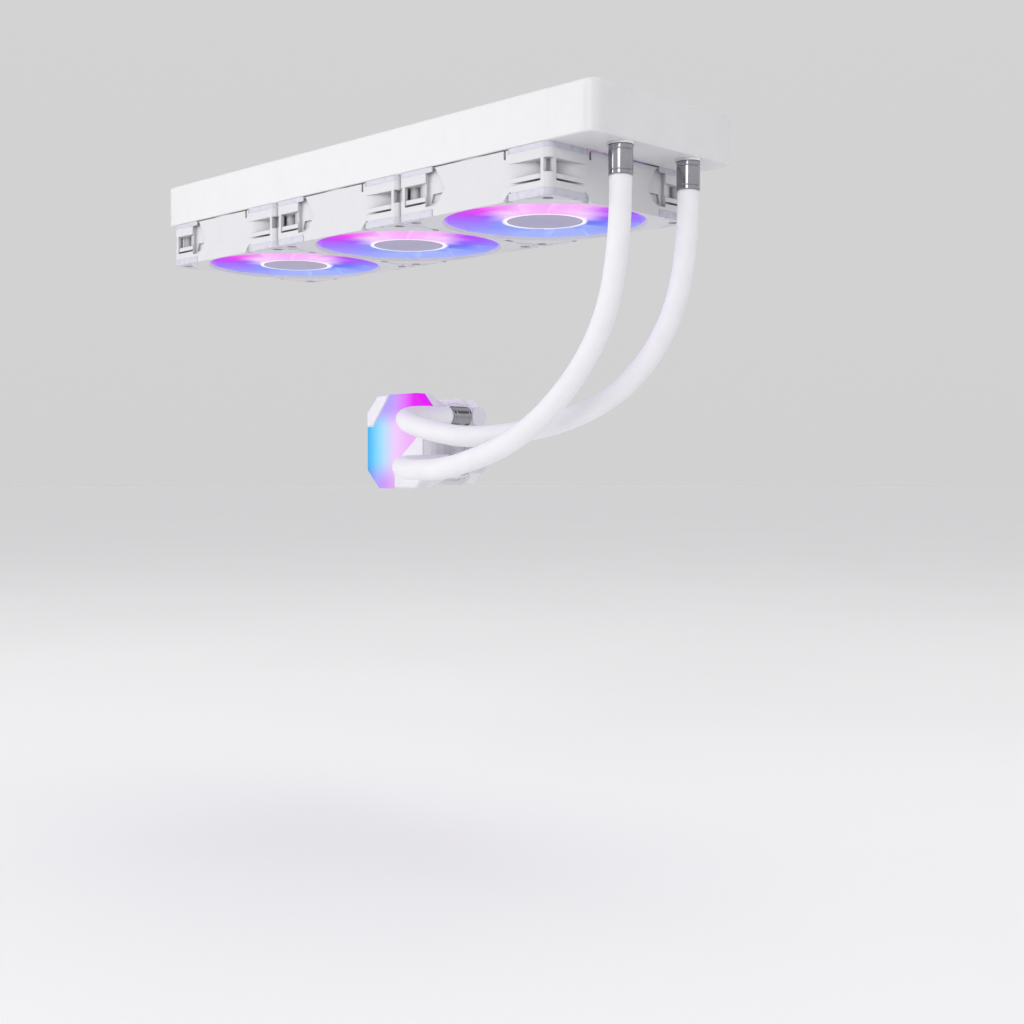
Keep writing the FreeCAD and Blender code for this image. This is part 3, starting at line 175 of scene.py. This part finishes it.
# ---------------------------------------------------------------- material helpers
# Each finish's colour, as linear numbers, and its roughness.
FINISHES = {
    "white_paint": ((0.75, 0.75, 0.765), 0.42),
    "tube_paint": ((0.66, 0.66, 0.68), 0.45),
    "fin_paint": ((0.68, 0.68, 0.70), 0.45),
    "fan_frame_white": ((0.68, 0.68, 0.705), 0.40),
    "fan_blade_glow": ((0.72, 0.70, 0.80), 0.35),
    # The hub cap is white plastic; its grey lavender colour is painted shade.
    "hub_cap_painted_shade": ((0.39, 0.36, 0.56), 0.36),
    "light_board_white": ((0.75, 0.75, 0.78), 0.4),
    "clear_pad": ((0.58, 0.57, 0.65), 0.30),
    "inner_hose": ((0.05, 0.05, 0.055), 0.6),
    "hose_sleeve_white": ((0.80, 0.80, 0.82), 0.62),
    "pump_plastic": ((0.80, 0.795, 0.84), 0.42),
    "elbow_plastic": ((0.68, 0.68, 0.73), 0.38),
    "cover_white": ((0.76, 0.75, 0.80), 0.32),
    "impeller_plastic": ((0.08, 0.08, 0.09), 0.35),
    "pump_face_glow": ((0.70, 0.70, 0.75), 0.22),
    "circuit_board_green": ((0.02, 0.09, 0.04), 0.4),
    "magnet_grey": ((0.20, 0.20, 0.21), 0.5),
    "steel": ((0.62, 0.62, 0.63), 0.25),
    "bearing_bronze": ((0.70, 0.48, 0.24), 0.4),
    "copper": ((0.93, 0.50, 0.34), 0.22),
    # The chrome's dark colour is painted shade in its reflections, which stands for dark surroundings.
    "chrome": ((0.31, 0.31, 0.335), 0.09),
    "neck_metal": ((0.75, 0.75, 0.77), 0.2),
    "floor_pale": ((0.96, 0.96, 0.965), 0.8),
}
PATCH_DARK = 0.3                # the noise values where a patch is darkest and lightest
PATCH_LIGHT = 0.7
GLOSS_SWING = 0.06
SHUT_IN = 0.25                  # the shares of open air where the painted crevice shade is darkest and where it is clear
OPEN_AIR = 0.85
SHADE_SAMPLES = 8
BEVEL_SAMPLES = 4
MIX_INPUTS = (0, 6, 7)          # the factor and the two colours of a Mix node that mixes colours
MIX_OUTPUT = 2


def grey(value):
    return (value, value, value)


def srgb(text):
    """A hex colour as linear numbers."""
    values = []
    for i in (0, 2, 4):
        v = int(text[i:i + 2], 16) / 255.0
        values.append(v / 12.92 if v <= 0.04045 else ((v + 0.055) / 1.055) ** 2.4)
    return tuple(values)


def set_ramp(ramp, stops, smooth=False):
    """Sets a colour ramp's stops from a list of (place, colour)."""
    bar = ramp.color_ramp
    bar.interpolation = "EASE" if smooth else "LINEAR"
    while len(bar.elements) > len(stops):
        bar.elements.remove(bar.elements[-1])
    while len(bar.elements) < len(stops):
        bar.elements.new(0.5)
    for element, (place, colour) in zip(bar.elements, stops):
        element.position = place
        element.color = (*colour, 1.0)


class Finish:
    """A Principled material and short calls that add nodes to it."""

    def __init__(self, name, **sockets):
        self.colour, self.roughness = FINISHES[name]
        self.material = bpy.data.materials.new(name)
        self.material.use_nodes = True
        self.tree = self.material.node_tree
        self.shader = self.tree.nodes["Principled BSDF"]
        self.shader.inputs["Base Color"].default_value = (*self.colour, 1.0)
        self.shader.inputs["Roughness"].default_value = self.roughness
        for socket, value in sockets.items():
            self.shader.inputs[socket.replace("_", " ")].default_value = value

    def node(self, kind, **settings):
        made = self.tree.nodes.new("ShaderNode" + kind)
        for key, value in settings.items():
            setattr(made, key, value)
        return made

    def wire(self, source, target):
        self.tree.links.new(source, target)

    def feed(self, socket, value):
        """Gives a socket a number, a colour or another node's output."""
        if isinstance(value, (int, float)):
            socket.default_value = value
        elif isinstance(value, tuple):
            socket.default_value = (*value, 1.0)
        else:
            self.wire(value, socket)

    def math(self, operation, *values, clamp=False):
        made = self.node("Math", operation=operation, use_clamp=clamp)
        for socket, value in zip(made.inputs, values):
            self.feed(socket, value)
        return made.outputs[0]

    def place(self):
        """Points of the mesh in the row frame, which move with the piece."""
        return self.node("TexCoord").outputs["Object"]

    def noise(self, size, detail=4.0, stretch=None):
        """Noise whose grains are about size metres across."""
        made = self.node("TexNoise")
        made.inputs["Scale"].default_value = 1.0 / size
        made.inputs["Detail"].default_value = detail
        source = self.place()
        if stretch:
            mapping = self.node("Mapping")
            mapping.inputs["Scale"].default_value = stretch
            self.wire(source, mapping.inputs["Vector"])
            source = mapping.outputs[0]
        self.wire(source, made.inputs["Vector"])
        return made.outputs["Fac"]

    def ramp(self, factor, stops, smooth=False):
        made = self.node("ValToRGB")
        set_ramp(made, stops, smooth)
        self.wire(factor, made.inputs[0])
        return made.outputs[0]

    def fade(self, factor, start, end, smooth=False):
        """A mask: 0 up to the start, 1 from the end on."""
        return self.ramp(factor, [(start, BLACK), (end, WHITE)], smooth)

    def mix(self, factor, first, second, blend="MIX"):
        made = self.node("Mix", data_type="RGBA", blend_type=blend)
        for socket, value in zip(MIX_INPUTS, (factor, first, second)):
            self.feed(made.inputs[socket], value)
        return made.outputs[MIX_OUTPUT]

    def paint(self, colour):
        self.wire(colour, self.shader.inputs["Base Color"])

    def vary(self, amount, size):
        """Uneven colour and gloss, a few percent from the plain values, in soft patches."""
        patches = self.noise(size)
        dark = tuple(c * (1.0 - amount) for c in self.colour)
        light = tuple(min(1.0, c * (1.0 + amount)) for c in self.colour)
        colour = self.ramp(patches, [(PATCH_DARK, dark), (PATCH_LIGHT, light)])
        self.paint(colour)
        gloss = self.ramp(patches, [(PATCH_DARK, grey(self.roughness - GLOSS_SWING)),
                                    (PATCH_LIGHT, grey(self.roughness + GLOSS_SWING))])
        self.wire(gloss, self.shader.inputs["Roughness"])
        return colour

    def paint_crevice_shade(self, colour, reach, dark):
        """The colour with painted shade: darker where something nearer than the reach shuts out the
        light.
        """
        # Painted shade: the ambient occlusion value darkens the colour.
        shade = self.node("AmbientOcclusion", samples=SHADE_SAMPLES)
        shade.inputs["Distance"].default_value = reach
        painted_shade = self.ramp(shade.outputs["AO"], [(SHUT_IN, grey(dark)), (OPEN_AIR, WHITE)])
        return self.mix(1.0, colour, painted_shade, "MULTIPLY")

    def bump(self, height, depth, edge=0.0):
        """Relief from a height output, with rounded edges if an edge radius is given."""
        made = self.node("Bump")
        made.inputs["Strength"].default_value = 1.0
        made.inputs["Distance"].default_value = depth
        self.wire(height, made.inputs["Height"])
        if edge:
            soft = self.node("Bevel", samples=BEVEL_SAMPLES)
            soft.inputs["Radius"].default_value = edge
            self.wire(soft.outputs[0], made.inputs["Normal"])
        self.wire(made.outputs[0], self.shader.inputs["Normal"])

    def glow(self, colour, strength):
        self.wire(colour, self.shader.inputs["Emission Color"])
        self.shader.inputs["Emission Strength"].default_value = strength


# ---------------------------------------------------------------- plain finishes
def moulded_plastic(name, edge=0.35 * MM):
    finish = Finish(name)
    finish.vary(amount=0.035, size=18.0 * MM)
    finish.bump(finish.noise(size=0.35 * MM, detail=2.0), depth=0.012 * MM, edge=edge)
    return finish.material


def painted_metal(name, edge=0.3 * MM):
    finish = Finish(name, Coat_Weight=0.15, Coat_Roughness=0.25)
    finish.vary(amount=0.03, size=30.0 * MM)
    finish.bump(finish.noise(size=0.8 * MM, detail=3.0), depth=0.02 * MM, edge=edge)
    return finish.material


def bare_metal(name):
    finish = Finish(name, Metallic=1.0)
    finish.vary(amount=0.08, size=9.0 * MM)
    finish.bump(finish.noise(size=0.5 * MM, detail=3.0), depth=0.006 * MM)
    return finish.material


def soft_rubber(name):
    finish = Finish(name, Subsurface_Weight=0.15, Subsurface_Scale=2.0 * MM)
    finish.vary(amount=0.05, size=6.0 * MM)
    finish.bump(finish.noise(size=0.5 * MM, detail=2.0), depth=0.02 * MM, edge=0.4 * MM)
    return finish.material


# The board's pattern is a wall of bricks, whose joints are its tracks.
BOARD_PATTERN = {
    "Scale": 420.0,
    "Color1": (0.02, 0.11, 0.05, 1.0),
    "Color2": (0.015, 0.07, 0.03, 1.0),
    "Mortar": (0.35, 0.30, 0.12, 1.0),
    "Mortar Size": 0.01,
}


def circuit_material():
    """Dark green board with tracks."""
    finish = Finish("circuit_board_green")
    tracks = finish.node("TexBrick")
    for socket, value in BOARD_PATTERN.items():
        tracks.inputs[socket].default_value = value
    finish.wire(finish.place(), tracks.inputs["Vector"])
    finish.paint(tracks.outputs["Color"])
    finish.bump(tracks.outputs["Fac"], depth=0.03 * MM)
    return finish.material


# ---------------------------------------------------------------- lit finishes
# The lights' colours, by name.
GLOW = {
    "sky": "86A6F0", "blue": "7078F4", "periwinkle": "9298FA", "pale_blue": "A2B2FF", "lilac": "A27AFE",
    "violet": "A464FC", "purple": "C44CF8", "magenta": "F24CF4", "pink": "FAB2FA", "pale_pink": "F6D4FC",
    "sea_blue": "32B2F4", "ice_blue": "7FD7FE", "ice": "B8E0FC", "blush": "F2CCFE", "rose": "EEB0F8",
    "lavender": "B4A0FE", "mauve": "CE98FC", "hot_pink": "E668FE", "bright_magenta": "E506F6",
    "near_white": "FFF4FF",
}

# Where each colour lies round a fan, in turns, near the hub, half way out and at the blades' ends.
HUB_GLOW = [
    (0.0, "periwinkle"), (0.1, "pale_pink"), (0.25, "pink"), (0.43, "pale_pink"), (0.5, "blue"),
    (0.65, "sky"), (0.85, "sky"), (1.0, "periwinkle"),
]
MIDDLE_GLOW = [
    (0.0, "lilac"), (0.07, "violet"), (0.14, "pale_pink"), (0.25, "pink"), (0.36, "pale_pink"),
    (0.44, "violet"), (0.5, "blue"), (0.65, "pale_blue"), (0.8, "pale_blue"), (0.9, "periwinkle"),
    (1.0, "lilac"),
]
EDGE_GLOW = [
    (0.0, "lilac"), (0.07, "purple"), (0.13, "magenta"), (0.2, "pink"), (0.32, "pink"),
    (0.38, "purple"), (0.44, "violet"), (0.53, "periwinkle"), (0.65, "pale_blue"), (0.8, "pale_blue"),
    (1.0, "lilac"),
]
HUB_EDGE = 22.0 * MM
BLADE_EDGE = 56.7 * MM
DUCT_WALL = 58.0 * MM
# Shares of the way from the hub's edge to the blades' ends where one ring of colours becomes the next.
HUB_TO_MIDDLE = (0.10, 0.40)
MIDDLE_TO_EDGE = (0.40, 0.75)
HALO = [(0.0, WHITE), (0.05, grey(0.9)), (0.10, BLACK)]
# The light leans forwards as it rises from the opening: so many times the rise, up to a height.
LEAN = 6.0
LEAN_HEIGHT = 3.5 * MM
BLADE_GLOW = 0.95
BLADE_DIM = 0.95                # how much of the colour the unlit surface loses
DUCT_GLOW = 0.90
DUCT_DIM = 0.92
BOARD_GLOW = 0.4

# The pump face's colours from its left side to its right, at its top, middle and bottom.
FACE_TOP = [
    (0.0, "lavender"), (0.36, "lavender"), (0.48, "mauve"), (0.63, "hot_pink"), (0.76, "bright_magenta"),
    (1.0, "bright_magenta"),
]
FACE_MIDDLE = [
    (0.0, "sea_blue"), (0.15, "ice_blue"), (0.28, "ice"), (0.46, "blush"), (0.7, "rose"), (1.0, "rose"),
]
FACE_LOW = [(0.0, "blue"), (0.15, "lavender"), (0.28, "mauve"), (0.5, "rose"), (1.0, "rose")]
# Shares of the way from the face's middle to its top or bottom where the colours change over.
MIDDLE_TO_TOP = (0.25, 0.74)
MIDDLE_TO_LOW = (0.35, 0.95)
FACE_GLOW = 0.95
FACE_DIM = 0.96


def glow_stops(table):
    return [(place, srgb(GLOW[name])) for place, name in table]


def distance_out(finish, first, second):
    square = finish.math("ADD", finish.math("MULTIPLY", first, first),
                         finish.math("MULTIPLY", second, second))
    return finish.math("SQRT", square)


def fan_place(finish):
    """The turn round the nearest fan's axis, 0 to 1, its distance out, and the point's own distance
    out. The place is read in the world, because the lights stay where they are when the blades turn."""
    split = finish.node("SeparateXYZ")
    finish.wire(finish.node("NewGeometry").outputs["Position"], split.inputs[0])
    folded = finish.math("WRAP", split.outputs["X"], FAN_SPACING / 2.0, -FAN_SPACING / 2.0)
    side = split.outputs["Y"]
    true_radius = distance_out(finish, folded, side)
    rise = finish.math("SUBTRACT", split.outputs["Z"], BLADE_LOW)
    rise = finish.math("MINIMUM", finish.math("MAXIMUM", rise, 0.0), LEAN_HEIGHT)
    shift = finish.math("MULTIPLY", rise, LEAN)
    right = finish.math("MULTIPLY", finish.math("ADD", folded, side), SQRT_HALF)
    far = finish.math("MULTIPLY", finish.math("SUBTRACT", side, folded), SQRT_HALF)
    far = finish.math("SUBTRACT", far, shift)
    turn = finish.math("ARCTAN2", far, right)
    turn = finish.math("ADD", finish.math("MULTIPLY", turn, 0.5 / math.pi), 0.5)
    return turn, distance_out(finish, right, far), true_radius


def fan_hue(finish):
    """The light's colour: three rings of colours that go round the hub, and a pale halo at the hub."""
    turn, radius, true_radius = fan_place(finish)
    out = finish.math("DIVIDE", finish.math("SUBTRACT", radius, HUB_EDGE), BLADE_EDGE - HUB_EDGE,
                      clamp=True)
    near_hub = finish.ramp(turn, glow_stops(HUB_GLOW))
    middle = finish.ramp(turn, glow_stops(MIDDLE_GLOW))
    edge = finish.ramp(turn, glow_stops(EDGE_GLOW))
    colour = finish.mix(finish.fade(out, *HUB_TO_MIDDLE), near_hub, middle)
    colour = finish.mix(finish.fade(out, *MIDDLE_TO_EDGE), colour, edge)
    return finish.mix(finish.ramp(out, HALO), colour, srgb(GLOW["near_white"])), true_radius


def fan_glow_material():
    """Clear blades that carry coloured light."""
    finish = Finish("fan_blade_glow", Specular_IOR_Level=0.10)
    colour, _ = fan_hue(finish)
    finish.glow(colour, BLADE_GLOW)
    finish.paint(finish.mix(BLADE_DIM, colour, BLACK))
    finish.bump(finish.noise(size=2.5 * MM, detail=2.0, stretch=(1.0, 1.0, 0.3)), depth=0.03 * MM)
    return finish.material


def fan_frame_material():
    """White moulded plastic, darker in its corners with painted shade; the wall of the duct has a
    painted glow of the blades' light.
    """
    finish = Finish("fan_frame_white")
    patchy = finish.vary(amount=0.03, size=18.0 * MM)
    # Painted shade in the frame's corners and recesses.
    colour = finish.paint_crevice_shade(patchy, reach=7.0 * MM, dark=0.62)
    # Painted glow: inside the duct the wall gives out the blades' colours as light, and its own colour
    # is dimmed there.
    hue, radius = fan_hue(finish)
    duct_glow_mask = finish.math("LESS_THAN", radius, DUCT_WALL)
    finish.glow(finish.mix(duct_glow_mask, BLACK, hue), DUCT_GLOW)
    finish.paint(finish.mix(finish.math("MULTIPLY", duct_glow_mask, DUCT_DIM), colour, BLACK))
    finish.bump(finish.noise(size=0.35 * MM, detail=2.0), depth=0.012 * MM, edge=0.35 * MM)
    return finish.material


def pump_glow_material():
    """The pump cap's light: blue at one side through white to pink, stronger pink at the top."""
    finish = Finish("pump_face_glow", Specular_IOR_Level=0.06)
    split = finish.node("SeparateXYZ")
    finish.wire(finish.place(), split.inputs[0])
    across = finish.math("DIVIDE", finish.math("SUBTRACT", split.outputs["X"], FACE_CENTRE.x),
                         2.0 * FACE_HALF)
    across = finish.math("ADD", across, 0.5)
    height = finish.math("DIVIDE", finish.math("SUBTRACT", split.outputs["Z"], FACE_CENTRE.z), FACE_HALF)
    top = finish.ramp(across, glow_stops(FACE_TOP))
    middle = finish.ramp(across, glow_stops(FACE_MIDDLE))
    low = finish.ramp(across, glow_stops(FACE_LOW))
    up = finish.fade(height, *MIDDLE_TO_TOP, smooth=True)
    down = finish.fade(finish.math("MULTIPLY", height, -1.0), *MIDDLE_TO_LOW, smooth=True)
    colour = finish.mix(down, finish.mix(up, middle, top), low)
    finish.glow(colour, FACE_GLOW)
    finish.paint(finish.mix(FACE_DIM, colour, BLACK))
    finish.bump(finish.noise(size=0.4 * MM, detail=2.0), depth=0.01 * MM, edge=0.4 * MM)
    return finish.material


def light_board_material():
    """The fan's ring board, lit by the small lights on it."""
    finish = Finish("light_board_white")
    finish.glow(finish.vary(amount=0.05, size=3.0 * MM), BOARD_GLOW)
    return finish.material


# ---------------------------------------------------------------- hoses
HOSE_RADIUS = 6.0 * MM
# Control points, from the pump's elbow to the radiator's neck.
HOSE_ROUTES = {
    "upper_hose": [
        (0.019, 0.0162, -0.1627), (0.019, 0.004, -0.1627), (0.023, -0.017, -0.1635),
        (0.0395, -0.039, -0.167), (0.070, -0.0515, -0.1735), (0.114, -0.048, -0.181),
        (0.167, -0.019, -0.170), (0.193, 0.008, -0.140), (0.202, 0.0285, -0.090),
        (0.202, 0.0285, -0.044),
    ],
    "lower_hose": [
        (0.019, 0.0162, -0.1934), (0.019, 0.003, -0.1934), (0.0265, -0.023, -0.194),
        (0.0435, -0.045, -0.1956), (0.071, -0.059, -0.198), (0.113, -0.064, -0.1965),
        (0.160, -0.054, -0.179), (0.192, -0.038, -0.137), (0.202, -0.0285, -0.088),
        (0.202, -0.0285, -0.044),
    ],
}
LINE_ORDER = 3
LINE_STEPS = 48
RING_STEP = 0.45 * MM
RING_POINTS = 120
TINY = 1e-9

BRAID_DEPTH = 0.07 * MM
BRAID_PITCH = 1.8 * MM
BRAID_STRANDS = 40
# Each end of the sleeve is pinched, and swells a little just before the pinch.
PINCH_DEPTH = 0.18 * MM
PINCH_LENGTH = 1.2 * MM
SWELL_HEIGHT = 0.10 * MM
SWELL_PLACE = 3.2 * MM
SWELL_WIDTH = 1.8 * MM
# Painted shade on the sleeve, from between its strands to their tops, and faint patches over the whole.
STRAND_PAINTED_SHADE = [(0.1, (0.82, 0.815, 0.85)), (0.7, (0.87, 0.87, 0.90))]
SLEEVE_PATCHES = [(PATCH_DARK, grey(0.96)), (PATCH_LIGHT, WHITE)]


def smooth_line(name, points):
    """The route's line: a NURBS spline with the route's points as its control points."""
    data = bpy.data.curves.new(name + "_line", "CURVE")
    data.dimensions = "3D"
    data.resolution_u = LINE_STEPS
    spline = data.splines.new("NURBS")
    spline.points.add(len(points) - 1)
    for point, place in zip(spline.points, points):
        point.co = (*place, 1.0)
    spline.order_u = LINE_ORDER
    spline.use_endpoint_u = True
    holder = link(bpy.data.objects.new(name + "_line", data))
    bpy.context.view_layer.update()
    mesh = bpy.data.meshes.new_from_object(holder)
    line = [vertex.co.copy() for vertex in mesh.vertices]
    bpy.data.objects.remove(holder)
    bpy.data.meshes.remove(mesh)
    bpy.data.curves.remove(data)
    return line


def even_line(line, step):
    """The line's points at an even spacing, each with its distance along, and the whole length."""
    reach = [0.0]
    for a, b in zip(line[:-1], line[1:]):
        reach.append(reach[-1] + (b - a).length)
    count = int(round(reach[-1] / step))
    places = []
    index = 0
    for i in range(count + 1):
        want = reach[-1] * i / count
        while index < len(line) - 2 and reach[index + 1] < want:
            index += 1
        share = (want - reach[index]) / max(reach[index + 1] - reach[index], TINY)
        places.append((line[index].lerp(line[index + 1], min(max(share, 0.0), 1.0)), want))
    return places, reach[-1]


def braid_height(along, around):
    """0 to 1: crossing strands that go over and under each other."""
    turn = around * BRAID_STRANDS / 2.0
    run = along / BRAID_PITCH
    first = math.sin(math.pi * (run + turn))
    second = math.sin(math.pi * (run - turn))
    over = math.sin(math.pi * (run + turn + 0.5) / 2.0) * math.sin(math.pi * (run - turn + 0.5) / 2.0)
    share = 0.5 + 0.5 * over
    return share * abs(first) + (1.0 - share) * abs(second)


def end_shape(along, length):
    """How far the sleeve swells and pinches near its two ends, in metres."""
    near = min(along, length - along)
    pinch = -PINCH_DEPTH * max(0.0, 1.0 - near / PINCH_LENGTH)
    swell = SWELL_HEIGHT * math.exp(-((near - SWELL_PLACE) / SWELL_WIDTH) ** 2)
    return pinch + swell


def tube_faces(rings, points):
    """The faces of a closed tube whose vertices come ring by ring."""
    faces = []
    for i in range(rings - 1):
        for j in range(points):
            k = (j + 1) % points
            faces.append((i * points + j, i * points + k, (i + 1) * points + k, (i + 1) * points + j))
    faces.append(tuple(range(points))[::-1])
    faces.append(tuple(range((rings - 1) * points, rings * points)))
    return faces


def sleeved_tube(name, line):
    """A mesh tube along the line, with the sleeve's braid as real relief."""
    places, length = even_line(line, RING_STEP)
    side = Vector((0.0, 0.0, 1.0))
    vertices = []
    weave = []
    for i, (place, along) in enumerate(places):
        before = places[max(i - 1, 0)][0]
        after = places[min(i + 1, len(places) - 1)][0]
        direction = (after - before).normalized()
        side = (side - direction * side.dot(direction)).normalized()
        other = direction.cross(side)
        for j in range(RING_POINTS):
            share = j / RING_POINTS
            height = braid_height(along, share)
            radius = HOSE_RADIUS + BRAID_DEPTH * (height - 1.0) + end_shape(along, length)
            angle = 2.0 * math.pi * share
            vertices.append(place + (side * math.cos(angle) + other * math.sin(angle)) * radius)
            weave.append(height)
    mesh = bpy.data.meshes.new(name)
    mesh.from_pydata(vertices, [], tube_faces(len(places), RING_POINTS))
    layer = mesh.attributes.new("weave", "FLOAT", "POINT")
    layer.data.foreach_set("value", weave)
    mesh.shade_smooth()
    mesh.update()
    return link(bpy.data.objects.new(name, mesh))


def hose_material():
    """White woven sleeve, with painted shade between its strands."""
    finish = Finish("hose_sleeve_white", Sheen_Weight=0.3, Sheen_Roughness=0.4)
    weave = finish.node("Attribute", attribute_name="weave")
    # Painted shade: darker where the braid's height is low.
    painted_shade = finish.ramp(weave.outputs["Fac"], STRAND_PAINTED_SHADE)
    patches = finish.ramp(finish.noise(size=12.0 * MM), SLEEVE_PATCHES)
    finish.paint(finish.mix(1.0, painted_shade, patches, "MULTIPLY"))
    finish.bump(finish.noise(size=0.12 * MM, detail=1.0), depth=0.01 * MM)
    return finish.material


def make_hoses():
    finish = hose_material()
    for node, points in HOSE_ROUTES.items():
        line = smooth_line(node, points)
        tube = sleeved_tube(node + "_sleeve", line)
        tube.data.materials.append(finish)
        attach(tube, "cooler")
        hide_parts(node)


# ---------------------------------------------------------------- radiator fins
FIN_STRIPS = 13
TUBE_HALF = 1.0 * MM
FIN_PITCH = 2.2 * MM
FIN_HALF_SHEET = 0.07 * MM
FIN_CLEAR = 0.03 * MM
# One wave of the fold: the side of the strip's middle, and the share of the pitch.
FOLD_SHAPE = ((-1.0, 0.0), (-0.97, 0.09), (0.97, 0.41), (1.0, 0.5), (0.97, 0.59), (-0.97, 0.91))


def fold_line(x0, x1, y0, y1):
    """One strip's folded line: straight walls with small rounded crests, from end to end."""
    middle = (y0 + y1) / 2.0
    reach = (y1 - y0) / 2.0 - FIN_HALF_SHEET - FIN_CLEAR
    waves = int((x1 - x0) / FIN_PITCH)
    points = []
    for wave in range(waves):
        for side, share in FOLD_SHAPE:
            points.append((x0 + (wave + share) * FIN_PITCH, middle + side * reach))
    return points


def add_sheet(points, z0, z1, vertices, faces):
    """A thin upright sheet that follows the line, with its two faces, top, bottom and ends."""
    first = len(vertices)
    for i, (x, y) in enumerate(points):
        before = points[max(i - 1, 0)]
        after = points[min(i + 1, len(points) - 1)]
        run = math.hypot(after[0] - before[0], after[1] - before[1])
        out_x = -(after[1] - before[1]) / run * FIN_HALF_SHEET
        out_y = (after[0] - before[0]) / run * FIN_HALF_SHEET
        for side in (1.0, -1.0):
            vertices.append((x + side * out_x, y + side * out_y, z0))
            vertices.append((x + side * out_x, y + side * out_y, z1))
    for i in range(len(points) - 1):
        a = first + 4 * i
        b = a + 4
        faces += [(a, a + 1, b + 1, b), (a + 2, b + 2, b + 3, a + 3),
                  (a + 1, a + 3, b + 3, b + 1), (a, b, b + 2, a + 2)]
    last = first + 4 * (len(points) - 1)
    faces += [(first, first + 2, first + 3, first + 1), (last, last + 1, last + 3, last + 2)]


def make_fins():
    """Finely folded strips between the flat tubes, in the place of the CAD's coarser ones."""
    low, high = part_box("radiator_fins")
    pitch = (high.y - low.y) / FIN_STRIPS
    vertices = []
    faces = []
    for i in range(FIN_STRIPS):
        y0 = low.y + i * pitch + (TUBE_HALF if i > 0 else 0.0)
        y1 = low.y + (i + 1) * pitch - (TUBE_HALF if i < FIN_STRIPS - 1 else 0.0)
        add_sheet(fold_line(low.x, high.x, y0, y1), low.z, high.z, vertices, faces)
    mesh = bpy.data.meshes.new("folded_fins")
    mesh.from_pydata(vertices, [], faces)
    mesh.materials.append(painted_metal("fin_paint", edge=0.0))
    mesh.update()
    fins = link(bpy.data.objects.new("folded_fins", mesh))
    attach(fins, "cooler")
    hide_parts("radiator_fins")


# ---------------------------------------------------------------- bracket springs
SPRING_WIRE = 0.42 * MM         # the wire's radius
SPRING_RADIUS = 3.1 * MM
SPRING_TURNS = 4.0
SPRING_STEPS = 192
WIRE_POINTS = 12
END_TURN = 0.5


def spring_mesh(name, centre_x, centre_z, y0, y1):
    """A wire coil along Y, with its first and last half turn lying flat."""
    rise = y1 - y0 - 2.0 * SPRING_WIRE
    vertices = []
    for i in range(SPRING_STEPS + 1):
        turn = SPRING_TURNS * i / SPRING_STEPS
        share = min(max((turn - END_TURN) / (SPRING_TURNS - 2.0 * END_TURN), 0.0), 1.0)
        outward = Vector((math.cos(2.0 * math.pi * turn), 0.0, math.sin(2.0 * math.pi * turn)))
        middle = Vector((centre_x, y0 + SPRING_WIRE + rise * share, centre_z)) + outward * SPRING_RADIUS
        for j in range(WIRE_POINTS):
            angle = 2.0 * math.pi * j / WIRE_POINTS
            across = outward * math.cos(angle) + Vector((0.0, math.sin(angle), 0.0))
            vertices.append(middle + across * SPRING_WIRE)
    mesh = bpy.data.meshes.new(name)
    mesh.from_pydata(vertices, [], tube_faces(SPRING_STEPS + 1, WIRE_POINTS))
    mesh.shade_smooth()
    mesh.update()
    return mesh


def make_springs(steel):
    """One spring round each captive screw."""
    low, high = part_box("bracket_springs")
    for number in (1, 2):
        screw = "bracket_screw_%d" % number
        centre = centre_of(screw)
        mesh = spring_mesh(screw + "_spring", centre.x, centre.z, low.y, high.y)
        mesh.materials.append(steel)
        coil = link(bpy.data.objects.new(screw + "_spring", mesh))
        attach(coil, "cooler")
        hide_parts("bracket_springs")
        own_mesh(coil)


# ---------------------------------------------------------------- materials on the CAD pieces
def assign(material, *nodes):
    for node in nodes:
        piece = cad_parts[node]
        piece.data.materials.clear()
        piece.data.materials.append(material)


def fan_nodes(part):
    return [name + "_" + part for name in FAN_NAMES]


def paint_radiator():
    assign(painted_metal("white_paint"), "front_tank", "rear_tank", "near_side_rail", "far_side_rail",
           "header_plates", "pump_bracket")
    assign(painted_metal("tube_paint"), "radiator_tubes")
    # The chrome is painted dark, as painted shade in its reflections.
    assign(bare_metal("chrome"), "hose_ferrules", "fill_plug")
    assign(bare_metal("neck_metal"), "radiator_necks")
    assign(soft_rubber("inner_hose"), "hose_tails", "seal_ring")


def paint_fans():
    assign(fan_frame_material(), *fan_nodes("frame"))
    assign(fan_glow_material(), *fan_nodes("blades"))
    assign(soft_rubber("clear_pad"), *fan_nodes("corner_pads"))
    # The hub cap's grey lavender colour is painted shade on white plastic.
    assign(moulded_plastic("hub_cap_painted_shade", edge=0.0), *fan_nodes("hub_cap"))
    assign(bare_metal("magnet_grey"), *fan_nodes("magnet_ring"))
    assign(bare_metal("bearing_bronze"), *fan_nodes("bearing"))
    assign(light_board_material(), *fan_nodes("light_board"))


def paint_pump():
    assign(moulded_plastic("pump_plastic"), "pump_housing")
    assign(moulded_plastic("elbow_plastic"), "upper_elbow", "lower_elbow")
    assign(moulded_plastic("cover_white"), "pump_corner_covers")
    assign(moulded_plastic("impeller_plastic"), "pump_impeller")
    assign(pump_glow_material(), "pump_diffuser")
    assign(circuit_material(), "pump_circuit_board")


def paint_steel_and_copper():
    """The metals that the fans and the pump share, and the springs of the same steel."""
    steel = bare_metal("steel")
    make_springs(steel)
    assign(steel, *fan_nodes("shaft"), "fan_screws", "pump_axle", "bracket_screw_1", "bracket_screw_2",
           "cold_plate_screws", "pump_rotor_can")
    assign(bare_metal("copper"), *fan_nodes("stator"), "pump_stator", "cold_plate")


make_camera()
make_hoses()
make_world()
make_lights()
make_floor()
make_fins()
paint_radiator()
paint_fans()
paint_pump()
paint_steel_and_copper()
bpy.context.scene.view_settings.view_transform = "Standard"
